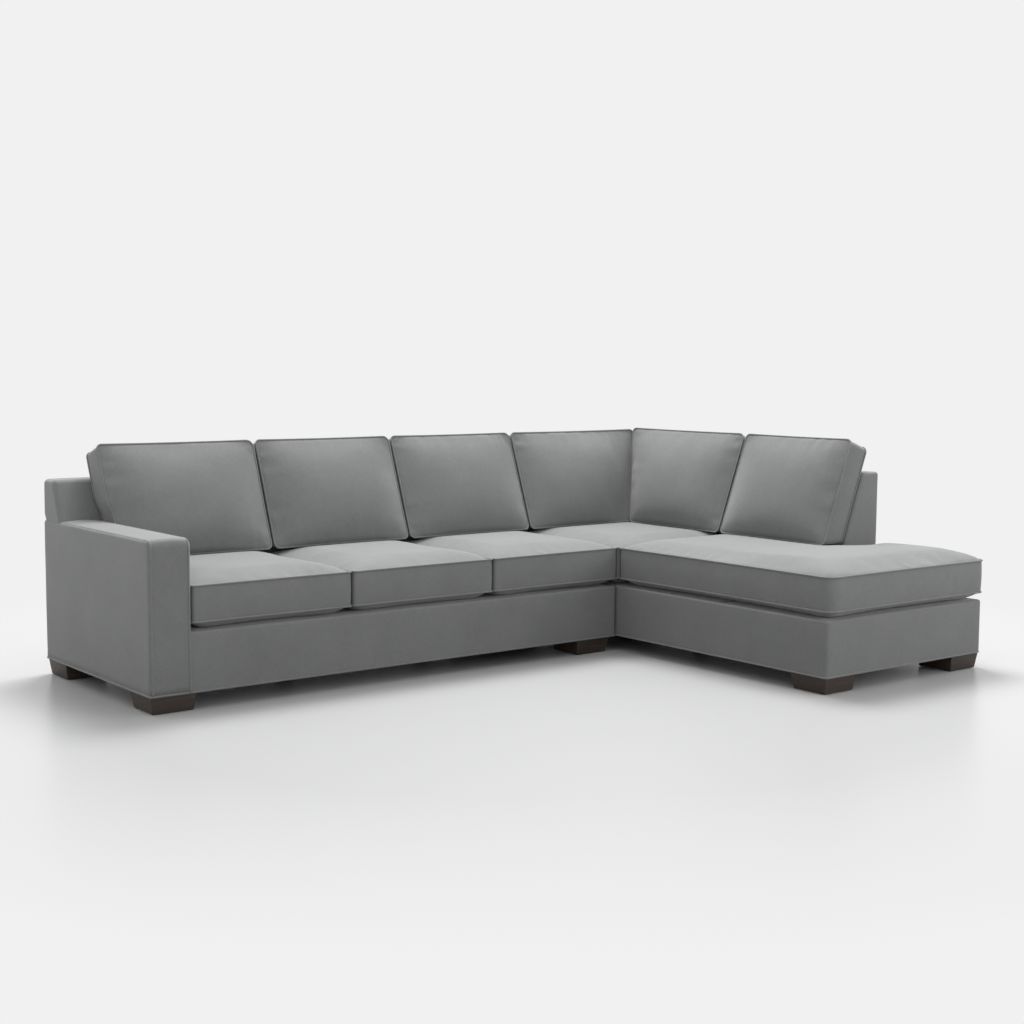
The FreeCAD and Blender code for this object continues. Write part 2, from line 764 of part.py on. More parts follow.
def bumper_backs():
    """Posts, top rails, webbing and covers of the corner section's two backs."""
    cover = s.cover_thickness
    inner_face = inner_rail_x + s.board
    rear_starts = [inner_face, end_rail_x - s.board, outer_rail_x - s.board]
    end_stop = seat_rail_y - s.board
    end_starts = [end_back_y + s.board, front_y + s.board, end_stop - s.board]
    uprights = posts("CornerPost", "X", from_rear, rear_starts)
    uprights += posts("EndPost", "Y", from_right, end_starts)
    part("bumper_back_posts", group("BumperPosts", uprights))
    top_inset = thickness_at(s.back_height - cover) - cover
    rail_top = (top_rail_z, top_rail_z + s.board)
    corner_stop = rear_y - thickness_at(top_rail_z)
    corner_top_y = (rear_y - top_inset, rear_y - cover)
    end_top_y = (end_back_y + cover, corner_stop)
    rails = [
        slab("CornerTopRail", (bumper_x + cover, right_x - cover), corner_top_y, rail_top),
        slab("EndTopRail", (right_x - top_inset, right_x - cover), end_top_y, rail_top),
    ]
    part("bumper_top_rails", group("BumperTopRails", rails))
    webs = straps("CornerStrap", "X", from_rear, bumper_x + cover, right_x - cover)
    webs += straps("EndStrap", "Y", from_right, end_back_y + cover, back_face_y)
    part("bumper_back_webbing", group("BumperWebbing", webs))

    def wanted(middle, run):
        top = near(middle.z, s.back_height) and not near(middle.x, bumper_x)
        outer = near(middle.x, right_x) and (near(middle.y, rear_y) or near(middle.y, end_back_y))
        return top or outer

    corner = back_shell("CornerBack", "X", from_rear, bumper_x, right_x, bumper_x + cover, right_x, wanted)
    mitre_cut = mitre("CornerMitre", right_x, end_face_x)
    part("corner_back_cover", cut("CornerBackCover", corner[0], [corner[1], mitre_cut]))
    end = back_shell("EndBack", "Y", from_right, end_back_y, rear_y, end_back_y + cover, rear_y, wanted)
    opening = slab(
        "EndOpening",
        (end_face_x - s.overrun, right_x - cover),
        (end_back_y - s.overrun, end_back_y + cover),
        (s.foot_height - s.overrun, s.deck_height),
    )
    end_cuts = [end[1], mitre("EndMitre", end_face_x, right_x), opening]
    part("end_back_cover", cut("EndBackCover", end[0], end_cuts))


def mitre(name, kept_from, kept_to):
    """A cutter for what lies on one side of the diagonal through the corner where the two backs meet."""
    way = 1 if kept_from.value > kept_to.value else -1
    past = s.overrun * way
    far = (right_x + s.overrun, rear_y + s.overrun)
    near_end = (end_face_x - s.overrun, back_face_y - s.overrun)
    side = (kept_from + past, near_end[1] if way > 0 else far[1])
    points = [far, near_end, side] if way < 0 else [near_end, side, far]
    return pad_body(name, "Z", near_end, points, s.foot_height - s.overrun, s.back_height + s.overrun)


def bumper_springs():
    """Springs of the corner section, across it from the inner rail."""
    start = s.board.value - s.spring_inset.value
    inside_y = bumper_front_y + s.cover_thickness + s.board
    short_span = (end_rail_x - inner_rail_x).value - start + s.spring_inset.value
    long_span = (outer_rail_x - inner_rail_x).value - start + s.spring_inset.value
    bays = [
        (inside_y, end_back_y, long_span, s.front_bay_springs),
        (end_back_y + s.board, front_y, short_span, s.end_bay_springs),
        (front_y + s.board, seat_rail_y, short_span, s.corner_bay_springs),
    ]
    made = []
    for low, high, span, count in bays:
        offset = (rear_y - high).value
        made.append(spring_bay(offset, (high - low).value, start, span, round(count.value)))
    base = FreeCAD.Vector(inner_rail_x.value, rear_y.value, rail_z.value)
    suspension("bumper", made, base, FreeCAD.Rotation(FreeCAD.Vector(0, 0, 1), -90))


def bumper_skins():
    """Decks, borders and dust cover of the corner section."""
    cover = s.cover_thickness
    inside_y = bumper_front_y + cover
    split_y = end_back_y + s.board
    decks = [
        tray("BumperFrontDeck", (inner_rail_x, right_x - cover), (inside_y, split_y), False, False),
        tray("BumperRearDeck", (inner_rail_x, end_rail_x), (split_y, seat_rail_y), True, True),
    ]
    part("bumper_deck", group("BumperDecks", decks))
    heights = (s.foot_height, s.deck_height)
    borders = [
        slab("BumperFrontBorder", (bumper_x, right_x), (bumper_front_y, inside_y), heights),
        slab("BumperInnerBorder", (bumper_x, bumper_x + cover), (inside_y, back_face_y), heights),
        slab("BumperOuterBorder", (right_x - cover, right_x), (inside_y, end_back_y), heights),
    ]
    part("bumper_border", group("BumperBorders", borders))
    under_x = (inner_rail_x, right_x - cover)
    under_y = (inside_y, rear_y - cover)
    part("bumper_dust_cover", slab("BumperDustCover", under_x, under_y, (s.foot_height, frame_z)))


def bumper_section():
    """Everything fixed on the corner section."""
    bumper_base()
    spots = foot_spots()[1]
    inner = inner_rail_x + s.board
    front = bumper_front_y + s.cover_thickness + s.board
    rows = [
        (inner, front, 1, 1),
        (outer_rail_x, front, -1, 1),
        (inner, rear_rail_y, 1, -1),
        (outer_rail_x, rear_rail_y, -1, -1),
    ]
    foot_blocks("bumper_foot_blocks", rows)
    bumper_backs()
    bumper_springs()
    bumper_skins()
    standing("bumper_feet", spots, s.foot_width, s.foot_taper)
    leg_x = bumper_x + s.leg_place_share * s.bumper_width
    half = s.board / 2
    places = [(leg_x, end_back_y + half), (leg_x, front_y + half)]
    standing("bumper_centre_legs", places, s.leg_width, s.leg_taper)


# The brackets that hold the sections together: a tongue on one drops behind a bridge on the other.


def brackets():
    """Receivers on the long run's end rail and hooks on the corner section's inner rail."""
    receivers = []
    hooks = []
    low = s.foot_height + s.bracket_low
    bridge_top = low + s.bridge_height
    plate = (joint_x, joint_x + s.bracket_metal)
    slot_x = (plate[1], plate[1] + s.bridge_inside)
    bridge = (plate[1], slot_x[1] + s.bracket_metal)
    for index in range(2):
        middle = front_y + s.bracket_from_front + index * s.bracket_spacing
        width = (middle - s.bracket_width / 2, middle + s.bracket_width / 2)
        slot_half = s.tongue_width / 2 + s.tongue_clearance
        body = fuse(
            f"Receiver{index}_body",
            [
                slab(f"Receiver{index}_plate", plate, width, (low, low + s.bracket_height)),
                slab(f"Receiver{index}_bridge", bridge, width, (low, bridge_top)),
            ],
        )
        slot = slab(
            f"Receiver{index}_slot",
            slot_x,
            (middle - slot_half, middle + slot_half),
            (low - s.overrun, bridge_top + s.overrun),
        )
        screw_z = low + s.bracket_height - s.screw_edge
        screws = [
            cross_hole(f"Receiver{index}_screw{number}", plate, spot, screw_z)
            for number, spot in enumerate((width[0] + s.screw_edge, width[1] - s.screw_edge))
        ]
        receivers.append(cut(f"Receiver{index}", body, [slot] + screws))
        hooks.append(hook(f"Hook{index}", middle, bridge_top, slot_x))
    part("connector_receivers", group("Receivers", receivers))
    part("connector_hooks", group("Hooks", hooks))


def cross_hole(name, plate, middle, level):
    """A cutter along X for a screw hole."""
    item = doc.addObject("Part::Cylinder", name)
    bind(item, Radius=s.screw_radius, Height=plate[1] - plate[0] + 2 * s.overrun)
    item.Placement.Rotation = FreeCAD.Rotation(FreeCAD.Vector(0, 1, 0), 90)
    return place(item, plate[0] - s.overrun, middle, level)


def hook(name, middle, bridge_top, slot_x):
    """A bent plate: a flat back, a step over the bridge, and a tongue down behind it."""
    face = bumper_x
    step_low = bridge_top + s.tongue_clearance
    tongue = (slot_x[0] + s.tongue_clearance, slot_x[1] - s.tongue_clearance)
    points = [
        (face, step_low + s.bracket_height - s.bridge_height),
        (face - s.bracket_metal, step_low + s.bracket_height - s.bridge_height),
        (face - s.bracket_metal, step_low + s.bracket_metal),
        (tongue[0], step_low + s.bracket_metal),
        (tongue[0], step_low - s.tongue_length),
        (tongue[1], step_low - s.tongue_length),
        (tongue[1], step_low),
        (face, step_low),
    ]
    half = s.tongue_width / 2
    corner = (joint_x, s.foot_height)
    plate = pad_body(name + "_plate", "Y", corner, points, middle - half, middle + half)
    level = step_low + s.bracket_height - s.bridge_height - s.screw_edge
    screw = cross_hole(name + "_screw", (face - s.bracket_metal, face), middle, level)
    return cut(name, plate, [screw])


# Loose cushions. Each is a loft through rings; a ring's sides draw in between rounded corners.


def inset_corners(corners, insets):
    """Corners of an outline whose sides have moved in, each side by its own inset."""
    moved = []
    count = len(corners)
    for index, corner in enumerate(corners):
        before = (corner - corners[index - 1]).normalize()
        after = (corners[(index + 1) % count] - corner).normalize()
        normal_before = FreeCAD.Vector(-before.y, before.x, 0)
        normal_after = FreeCAD.Vector(-after.y, after.x, 0)
        both = normal_before.dot(normal_after)
        one = (insets[index - 1] - insets[index] * both) / (1 - both * both)
        two = (insets[index] - insets[index - 1] * both) / (1 - both * both)
        moved.append(corner + normal_before * one + normal_after * two)
    return moved


def ring(corners, level):
    """The points of one section of a cushion: drawn-in sides, rounded corners."""
    lift = FreeCAD.Vector(0, 0, level)
    draw_share = s.draw_share.value
    turns = round(s.corner_steps.value)
    runs = round(s.side_steps.value)
    count = len(corners)
    bends = []
    for index, corner in enumerate(corners):
        back = (corners[index - 1] - corner).normalize()
        ahead = (corners[(index + 1) % count] - corner).normalize()
        reach = s.corner_round.value if back.cross(ahead).z < 0 else s.notch_round.value
        half_angle = back.getAngle(ahead) / 2
        radius = reach * math.tan(half_angle)
        centre = corner + (back + ahead).normalize() * (radius / math.sin(half_angle))
        halfway = centre + (corner - centre).normalize() * radius
        arc = Part.Arc(corner + back * reach, halfway, corner + ahead * reach)
        bends.append(arc.discretize(Number=turns + 1))
    points = []
    for index, bend in enumerate(bends):
        points += [point + lift for point in bend]
        low = bend[-1]
        high = bends[(index + 1) % count][0]
        inward = FreeCAD.Vector(low.y - high.y, high.x - low.x, 0) * draw_share
        middle = (low + high) * 0.5 + inward
        side = Part.Arc(low, middle, high).discretize(Number=runs + 1)
        points += [point + lift for point in side[1:-1]]
    return points


def panel(points):
    """A flat face through points, or two where they aren't in one plane."""
    normal = (points[1] - points[0]).cross(points[2] - points[0]).normalize()
    if abs((points[3] - points[0]).dot(normal)) < s.flat_match.value:
        return [Part.Face(Part.makePolygon(points + points[:1]))]
    halves = (points[:3], [points[0], points[2], points[3]])
    return [Part.Face(Part.makePolygon(half + half[:1])) for half in halves]


def cushion_solid(rings):
    """The closed cushion: a ruled loft through its rings, with a flat underside and crown."""
    faces = []
    for lower, upper in zip(rings, rings[1:]):
        count = len(lower)
        for index in range(count):
            ahead = (index + 1) % count
            faces += panel([lower[index], lower[ahead], upper[ahead], upper[index]])
    for end in (rings[0][::-1], rings[-1]):
        faces.append(Part.Face(Part.makePolygon(end + end[:1])))
    shell = Part.makeShell(faces)
    shell.sewShape()
    return Part.makeSolid(shell)


def seat_cushion(label, corners, rear_side):
    """A boxed seat cushion over its core; corners are in plan, and rear_side meets the back."""
    origin = corners[0]
    plan = [corner - origin for corner in corners]
    levels = [0.0, s.seat_underfill.value]
    levels.append(levels[1] + s.seat_border.value)
    levels.append(levels[2] + s.seat_crown.value * s.shoulder_rise_share.value)
    levels.append(levels[2] + s.seat_crown.value)
    shoulder = s.shoulder_inset_share.value
    wide = [s.crown_inset.value] * len(plan)
    for side in rear_side:
        wide[side] = s.rear_crown_inset.value
    insets = [
        [s.underfill_inset.value] * len(plan),
        [0.0] * len(plan),
        [0.0] * len(plan),
        [inset * shoulder for inset in wide],
        wide,
    ]
    rings = [ring(inset_corners(plan, inset), level) for inset, level in zip(insets, levels)]
    outside = cushion_solid(rings)
    base = FreeCAD.Vector(origin.x, origin.y, s.deck_height.value + s.cushion_rest.value)
    wrap = s.core_wrap.value
    core_low = levels[1]
    core_high = levels[2]
    room = prism(inset_corners(plan, [wrap] * len(plan)), core_low, core_high)
    core_inset = wrap + s.core_clearance.value
    core = prism(inset_corners(plan, [core_inset] * len(plan)), core_low, core_high - s.core_clearance.value)
    own_shape(label, outside.cut(room), base)
    own_shape(label.replace("cushion", "core"), core, base)


def prism(corners, low, high):
    """A flat-sided block on an outline."""
    lift = FreeCAD.Vector(0, 0, low)
    points = [corner + lift for corner in corners]
    face = Part.Face(Part.makePolygon(points + points[:1]))
    return face.extrude(FreeCAD.Vector(0, 0, high - low))


def plan_point(along_x, along_y):
    """A point in plan."""
    return FreeCAD.Vector(as_size(along_x).value, as_size(along_y).value, 0)


def seat_cushions():
    """Three seats of the long run, the corner seat and the seat that fills the bumper."""
    gap = s.cushion_gap / 2
    rear = back_face_y - gap
    lines = seat_lines()
    for index, (low, high) in enumerate(zip(lines, lines[1:]), start=1):
        corners = [
            plan_point(low + gap, front_y),
            plan_point(high - gap, front_y),
            plan_point(high - gap, rear),
            plan_point(low + gap, rear),
        ]
        seat_cushion(f"seat_cushion_{index}", corners, [2])
    inner = bumper_x + gap
    side = end_face_x - gap
    corners = [
        plan_point(inner, front_y + gap),
        plan_point(side, front_y + gap),
        plan_point(side, rear),
        plan_point(inner, rear),
    ]
    seat_cushion("corner_seat_cushion", corners, [1, 2])
    front_of_back = end_back_y - gap
    corners = [
        plan_point(inner, bumper_front_y),
        plan_point(right_x, bumper_front_y),
        plan_point(right_x, front_of_back),
        plan_point(side, front_of_back),
        plan_point(side, front_y - gap),
        plan_point(inner, front_y - gap),
    ]
    seat_cushion("bumper_seat_cushion", corners, [2, 3])


lean = math.atan(s.lean_share.value)
cushion_foot_z = seat_top_z + s.cushion_rest
rear_top = s.back_length.value - (s.back_underfill + s.back_border).value * s.lean_share.value


def back_cushion(label, left, right, base, rotation, flat_side=0.0):
    """A boxed back cushion on its leaning plane; left and right give its sides at a height and a depth."""
    depths = [0.0, s.back_underfill.value]
    depths.append(depths[1] + s.back_border.value)
    side = s.back_side_inset.value
    tall = [s.back_foot_inset.value, side, s.back_top_inset.value, side]
    shoulder = [inset * s.shoulder_inset_share.value for inset in tall]
    none = [0.0] * len(tall)
    crown = s.back_crown.value
    stations = [(depths[0], [s.underfill_inset.value * s.shoulder_inset_share.value] * len(tall))]
    stations += [(depths[1], none), (depths[2], none)]
    if flat_side:
        rest = s.cushion_rest.value
        stations.append((depths[2] + rest, [rest, flat_side, rest, rest]))
        shoulder[1] += flat_side
        tall[1] += flat_side
    stations.append((depths[2] + crown * s.shoulder_rise_share.value, shoulder))
    stations.append((depths[2] + crown, tall))
    rings = []
    for depth, insets in stations:
        foot = -min(depth, depths[2]) * s.lean_share.value
        corners = [
            FreeCAD.Vector(left(foot, depth), foot, 0),
            FreeCAD.Vector(right(foot, depth), foot, 0),
            FreeCAD.Vector(right(rear_top, depth), rear_top, 0),
            FreeCAD.Vector(left(rear_top, depth), rear_top, 0),
        ]
        inset = inset_corners(corners, insets)
        rings.append(ring(inset, depth))
    own_shape(label, cushion_solid(rings), base, rotation)


def back_cushions():
    """Six back cushions: four lean on the long back and two on the short one."""
    gap = s.cushion_gap.value / 2
    tilt = FreeCAD.Rotation(FreeCAD.Vector(1, 0, 0), 90 - math.degrees(lean))
    turned = FreeCAD.Rotation(FreeCAD.Vector(0, 0, 1), -90) * tilt
    off = s.cushion_back_gap.value / math.cos(lean)
    plane_inset = thickness_at(cushion_foot_z).value + off
    foot = cushion_foot_z.value
    long_y = rear_y.value - plane_inset
    lines = seat_lines()
    for index, (low, high) in enumerate(zip(lines, lines[1:]), start=1):
        start = low.value + gap
        width = high.value - gap - start
        base = FreeCAD.Vector(start, long_y, foot)
        back_cushion(f"back_cushion_{index}", lambda up, depth: 0.0, lambda up, depth: width, base, tilt)
    count = len(lines)
    start = bumper_x.value + gap
    width = end_face_x.value - gap - start
    slant = s.corner_cushion_slant.value / rear_top
    base = FreeCAD.Vector(start, long_y, foot)
    back_cushion(
        f"back_cushion_{count}",
        lambda up, depth: 0.0,
        lambda up, depth: width + slant * max(up, 0.0),
        base,
        tilt,
        s.corner_cushion_flat.value,
    )
    total_depth = s.back_underfill.value + s.back_border.value
    front_y_at_foot = long_y - total_depth / math.cos(lean)
    short_x = right_x.value - plane_inset
    near_side = front_y.value + gap

    def slanted(up, depth):
        rise = up * math.cos(lean) + min(depth, total_depth) * math.sin(lean)
        return gap + gap - rise * s.lean_share.value

    base = FreeCAD.Vector(short_x, front_y_at_foot, foot)
    span = front_y_at_foot - near_side
    back_cushion(f"back_cushion_{count + 1}", slanted, lambda up, depth: span, base, turned)
    high = front_y.value - gap
    span = high - end_back_y.value
    base = FreeCAD.Vector(short_x, high, foot)
    back_cushion(f"back_cushion_{count + 2}", lambda up, depth: 0.0, lambda up, depth: span, base, turned)


def check(item):
    """Stops the build when an object failed or a shape is not sound."""
    if "Invalid" in item.State or "Error" in item.State:
        raise RuntimeError(f"{item.Label} failed: {item.State}")


sofa_section()
bumper_section()
brackets()
seat_cushions()
back_cushions()
doc.recompute()

for item in doc.Objects:
    check(item)
os.makedirs("parts", exist_ok=True)
for item in parts:
    if item.Shape.isNull() or not item.Shape.isValid():
        raise RuntimeError(f"{item.Label} has no sound shape")
for item in parts:
    item.Shape.exportStep(f"parts/{item.Label}.step")
    box = item.Shape.BoundBox
    print(
        f"{item.Label}: {len(item.Shape.Solids)} solids, {item.Shape.Volume:.0f} mm3,"
        f" X {box.XMin:.1f} {box.XMax:.1f}, Y {box.YMin:.1f} {box.YMax:.1f}, Z {box.ZMin:.1f} {box.ZMax:.1f}"
    )
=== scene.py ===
import json
import math
import bmesh
import bpy
import numpy as np
from mathutils import Matrix, Vector, noise


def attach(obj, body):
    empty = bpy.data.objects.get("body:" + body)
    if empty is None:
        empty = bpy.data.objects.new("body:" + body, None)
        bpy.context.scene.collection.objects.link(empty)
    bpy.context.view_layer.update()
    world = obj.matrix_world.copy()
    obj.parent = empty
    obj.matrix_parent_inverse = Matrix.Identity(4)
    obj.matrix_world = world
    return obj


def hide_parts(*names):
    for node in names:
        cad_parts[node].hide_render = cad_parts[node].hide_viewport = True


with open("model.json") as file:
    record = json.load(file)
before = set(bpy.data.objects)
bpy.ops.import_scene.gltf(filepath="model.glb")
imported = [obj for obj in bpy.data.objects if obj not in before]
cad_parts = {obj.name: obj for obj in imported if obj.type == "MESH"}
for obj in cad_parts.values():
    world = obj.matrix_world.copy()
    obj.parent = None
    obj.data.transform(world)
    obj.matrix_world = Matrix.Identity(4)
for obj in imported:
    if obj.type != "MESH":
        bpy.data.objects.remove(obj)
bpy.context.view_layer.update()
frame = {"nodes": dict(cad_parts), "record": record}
nodes = frame["nodes"]

# Measures of the CAD part, in metres.
LEAN_SHARE = 0.372
LEAN = math.atan(LEAN_SHARE)
LEFT_X = -1.585
RIGHT_X = 1.585
ARM_INNER_X = -1.420
JOINT_X = 0.608
BUMPER_X = 0.620
END_RAIL_X = 1.377
SPLIT_Y = -0.4975
FRONT_Y = 0.1125
REAR_Y = 1.0775
BACK_FACE_Y = 0.8605
BUMPER_FRONT_Y = -1.0775
END_BACK_Y = -0.5225
FOOT_TOP = 0.065
DECK_TOP = 0.287
ARM_TOP = 0.625
BACK_TOP = 0.787
SLOPE_Z = 0.494
BACK_THIN = 0.108
BACK_THICK = 0.217
WELT = 0.0037
EDGE_WELT = 0.0038


# Materials.

FINE_YARN = 640.0
LONG_YARN = 70.0
MOTTLE = 0.22
GRAIN = (2.0, 40.0, 40.0)


class Nodes:
    """Short calls for building a node tree."""

    def __init__(self, owner):
        owner.use_nodes = True
        self.tree = owner.node_tree
        self.tree.nodes.clear()

    def add(self, kind, **settings):
        node = self.tree.nodes.new(kind)
        for key, value in settings.items():
            setattr(node, key, value)
        return node

    def feed(self, socket, value):
        if hasattr(value, "is_output"):
            self.tree.links.new(value, socket)
        else:
            socket.default_value = value

    def fed(self, kind, *values, **settings):
        """The first output of a node whose first sockets have these values."""
        node = self.add(kind, **settings)
        for socket, value in zip(node.inputs, values):
            self.feed(socket, value)
        return node.outputs[0]

    def math(self, operation, *values):
        return self.fed("ShaderNodeMath", *values, operation=operation)

    def times(self, first, second):
        return self.math("MULTIPLY", first, second)

    def plus(self, first, second):
        return self.math("ADD", first, second)

    def noise(self, vector, scale, detail=2.0, roughness=0.5):
        node = self.add("ShaderNodeTexNoise")
        self.feed(node.inputs["Vector"], vector)
        node.inputs["Scale"].default_value = scale
        node.inputs["Detail"].default_value = detail
        node.inputs["Roughness"].default_value = roughness
        return node.outputs[0]

    def mix(self, factor, first, second):
        node = self.add("ShaderNodeMix", data_type="FLOAT", clamp_factor=True)
        for socket, value in zip(node.inputs[:4], (factor, None, first, second)):
            if value is not None:
                self.feed(socket, value)
        return node.outputs[0]

    def ramp(self, factor, stops):
        node = self.add("ShaderNodeValToRGB")
        self.feed(node.inputs[0], factor)
        band = node.color_ramp
        while len(band.elements) < len(stops):
            band.elements.new(0.5)
        for element, (position, colour) in zip(band.elements, stops):
            element.position = position
            element.color = (*colour, 1.0)
        return node.outputs[0]

    def bump(self, height, strength, distance, after=None):
        node = self.add("ShaderNodeBump")
        node.inputs["Strength"].default_value = strength
        node.inputs["Distance"].default_value = distance
        self.feed(node.inputs["Height"], height)
        if after is not None:
            self.feed(node.inputs["Normal"], after)
        return node.outputs["Normal"]


class Paint(Nodes):
    """The node tree of one material, round a principled shader."""

    def __init__(self, name):
        self.material = bpy.data.materials.new(name)
        super().__init__(self.material)
        self.shader = self.add("ShaderNodeBsdfPrincipled")
        self.output = self.add("ShaderNodeOutputMaterial")
        self.feed(self.output.inputs["Surface"], self.shader.outputs[0])
        self.place = self.add("ShaderNodeTexCoord").outputs["Object"]

    def toned(self, factor, colour, spread):
        """The colour in the middle, a darker one below it and a lighter one above it."""
        stops = [(0.3, lighter(colour, 1 - spread)), (0.5, colour), (0.7, lighter(colour, 1 + spread))]
        return self.ramp(factor, stops)

    def finish(self, colour, roughness, normal=None, **settings):
        self.feed(self.shader.inputs["Base Color"], colour)
        self.feed(self.shader.inputs["Roughness"], roughness)
        if normal is not None:
            self.feed(self.shader.inputs["Normal"], normal)
        named = {socket.name.lower().replace(" ", "_"): socket for socket in self.shader.inputs}
        for key, value in settings.items():
            named[key].default_value = value
        return self.material

    def flat_place(self):
        """Two coordinates in the surface, chosen by the way it faces."""
        normal = self.add("ShaderNodeSeparateXYZ")
        self.feed(normal.inputs[0], self.add("ShaderNodeNewGeometry").outputs["Normal"])
        place = self.add("ShaderNodeSeparateXYZ")
        self.feed(place.inputs[0], self.place)
        size = [self.math("ABSOLUTE", normal.outputs[axis]) for axis in range(3)]
        across = self.math("GREATER_THAN", size[0], self.math("MAXIMUM", size[1], size[2]))
        upward = self.math("GREATER_THAN", size[2], self.math("MAXIMUM", size[0], size[1]))
        along = self.mix(across, place.outputs[0], place.outputs[1])
        rise = self.mix(upward, place.outputs[2], place.outputs[1])
        return along, rise


def lighter(colour, share):
    return tuple(channel * share for channel in colour)


def fabric(name, colour, pitch=0.0024, depth=0.0005, fuzz=0.35):
    """A tight flat weave of heathered yarn."""
    n = Paint(name)
    along, rise = n.flat_place()
    slubs = []
    for wide, tall, shift in ((FINE_YARN, LONG_YARN, 0.0), (LONG_YARN, FINE_YARN, 5.0)):
        spot = n.fed("ShaderNodeCombineXYZ", n.times(along, wide), n.times(rise, tall), shift)
        slubs.append(n.noise(spot, 1.0))
    patch = n.noise(n.place, 5.5, 3.0, 0.55)
    nap = n.noise(n.place, 38.0, 2.0, 0.6)
    yarn = n.plus(n.times(slubs[0], 0.5), n.times(slubs[1], 0.5))
    yarn = n.plus(n.times(yarn, 0.62), n.times(patch, 0.23))
    tone = n.plus(yarn, n.times(nap, 0.15))
    shade = n.toned(tone, colour, MOTTLE)
    waves = [n.math("SINE", n.times(way, math.tau / pitch)) for way in (along, rise)]
    threads = n.plus(n.times(n.times(*waves), 0.35), n.plus(*slubs))
    normal = n.bump(threads, 0.45, depth, n.bump(patch, 0.25, 0.004))
    roughness = n.plus(n.times(nap, 0.12), 0.80)
    return n.finish(
        shade, roughness, normal, sheen_weight=fuzz, sheen_roughness=0.45, specular_ior_level=0.28
    )


def wood(name, dark, light, rough=0.42, coat=0.0):
    """Straight grain with darker pores."""
    n = Paint(name)

    def streaks(finer, *settings):
        mapping = n.add("ShaderNodeMapping")
        n.feed(mapping.inputs["Vector"], n.place)
        mapping.inputs["Scale"].default_value = [value * finer for value in GRAIN]
        return n.noise(mapping.outputs[0], *settings)

    figure = streaks(1.0, 3.0, 6.0, 0.62)
    pores = streaks(6.0, 4.0, 3.0, 0.7)
    bands = n.plus(n.times(figure, 0.7), n.times(pores, 0.3))
    shade = n.ramp(bands, [(0.28, dark), (0.52, lighter(dark, 1.35)), (0.75, light)])
    roughness = n.plus(n.times(pores, 0.16), rough - 0.06)
    return n.finish(shade, roughness, n.bump(bands, 0.22, 0.0006), coat_weight=coat, coat_roughness=0.25)


def speckled(name, colour, scale, rough, spread=0.18, bump=0.0004, metal=0.0):
    """A finish with a fine grain of its own: foam, moulding, paint or drawn metal."""
    n = Paint(name)
    cells = n.noise(n.place, scale, 4.0, 0.65)
    wide = n.noise(n.place, scale * 0.06, 2.0, 0.5)
    tone = n.plus(n.times(cells, 0.6), n.times(wide, 0.4))
    shade = n.toned(tone, colour, spread)
    roughness = n.plus(n.times(cells, 0.2), rough - 0.1)
    return n.finish(shade, roughness, n.bump(cells, 0.3, bump), metallic=metal)


GREY = (0.156, 0.1582, 0.1582)
UPHOLSTERY = fabric("upholstery_weave", GREY)
# The welt cloth is the cover's grey made 4 % lighter: a faint painted highlight along every seam.
WELT_CLOTH_PAINTED_HIGHLIGHT = fabric("upholstery_welt", lighter(GREY, 1.04), pitch=0.0020, depth=0.0004)
DECKING = fabric("deck_cloth_weave", lighter(GREY, 0.8), pitch=0.0030)
ESPRESSO = wood("espresso_wood", (0.030, 0.021, 0.016), (0.085, 0.062, 0.048), coat=0.12)

BY_SLOT = {
    "upholstery": UPHOLSTERY,
    "deck_cloth": DECKING,
    "dust_cloth": fabric("dust_cloth_felt", (0.020, 0.020, 0.021), pitch=0.0034, fuzz=0.1),
    "webbing": fabric("webbing_weave", (0.05, 0.05, 0.055), pitch=0.005, depth=0.001, fuzz=0.1),
    "foot_wood": ESPRESSO,
    "frame_wood": wood("frame_timber", (0.40, 0.27, 0.15), (0.66, 0.49, 0.31), rough=0.68),
    "hardboard": speckled("hardboard_pressed", (0.27, 0.17, 0.10), 420.0, 0.6),
    "cushion_foam": speckled("cushion_foam_cells", (0.80, 0.74, 0.55), 260.0, 0.9, 0.10, 0.0008),
    "spring_steel": speckled("spring_steel_drawn", (0.42, 0.42, 0.43), 300.0, 0.38, 0.12, 0.0001, 1.0),
    "bracket_steel": speckled("bracket_black_paint", (0.025, 0.025, 0.027), 500.0, 0.42, 0.15, 0.0001),
    "leg_plastic": speckled("leg_plastic_matte", (0.028, 0.028, 0.029), 600.0, 0.6, 0.15, 0.0002),
}
for row in frame["record"]["subparts"]:
    held = nodes[row["node"]].data.materials
    held.clear()
    held.append(BY_SLOT[row["material_slot"]])


# Meshes.

def linked(name, data):
    """A new object in the scene."""
    item = bpy.data.objects.new(name, data)
    bpy.context.scene.collection.objects.link(item)
    return item


def smoothed(mesh):
    mesh.polygons.foreach_set("use_smooth", [True] * len(mesh.polygons))


def object_from(name, vertices, faces, material):
    """A smooth piece from bare points and faces."""
    mesh = bpy.data.meshes.new(name)
    mesh.from_pydata([tuple(v) for v in vertices], [], [tuple(f) for f in faces])
    mesh.validate()
    smoothed(mesh)
    mesh.materials.append(material)
    return linked(name, mesh)


def settle(piece, body, slot, *stands_for):
    """A piece on its body, with the CAD nodes that it replaces hidden; its slot is not used."""
    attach(piece, body)
    if stands_for:
        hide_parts(*stands_for)
    return piece


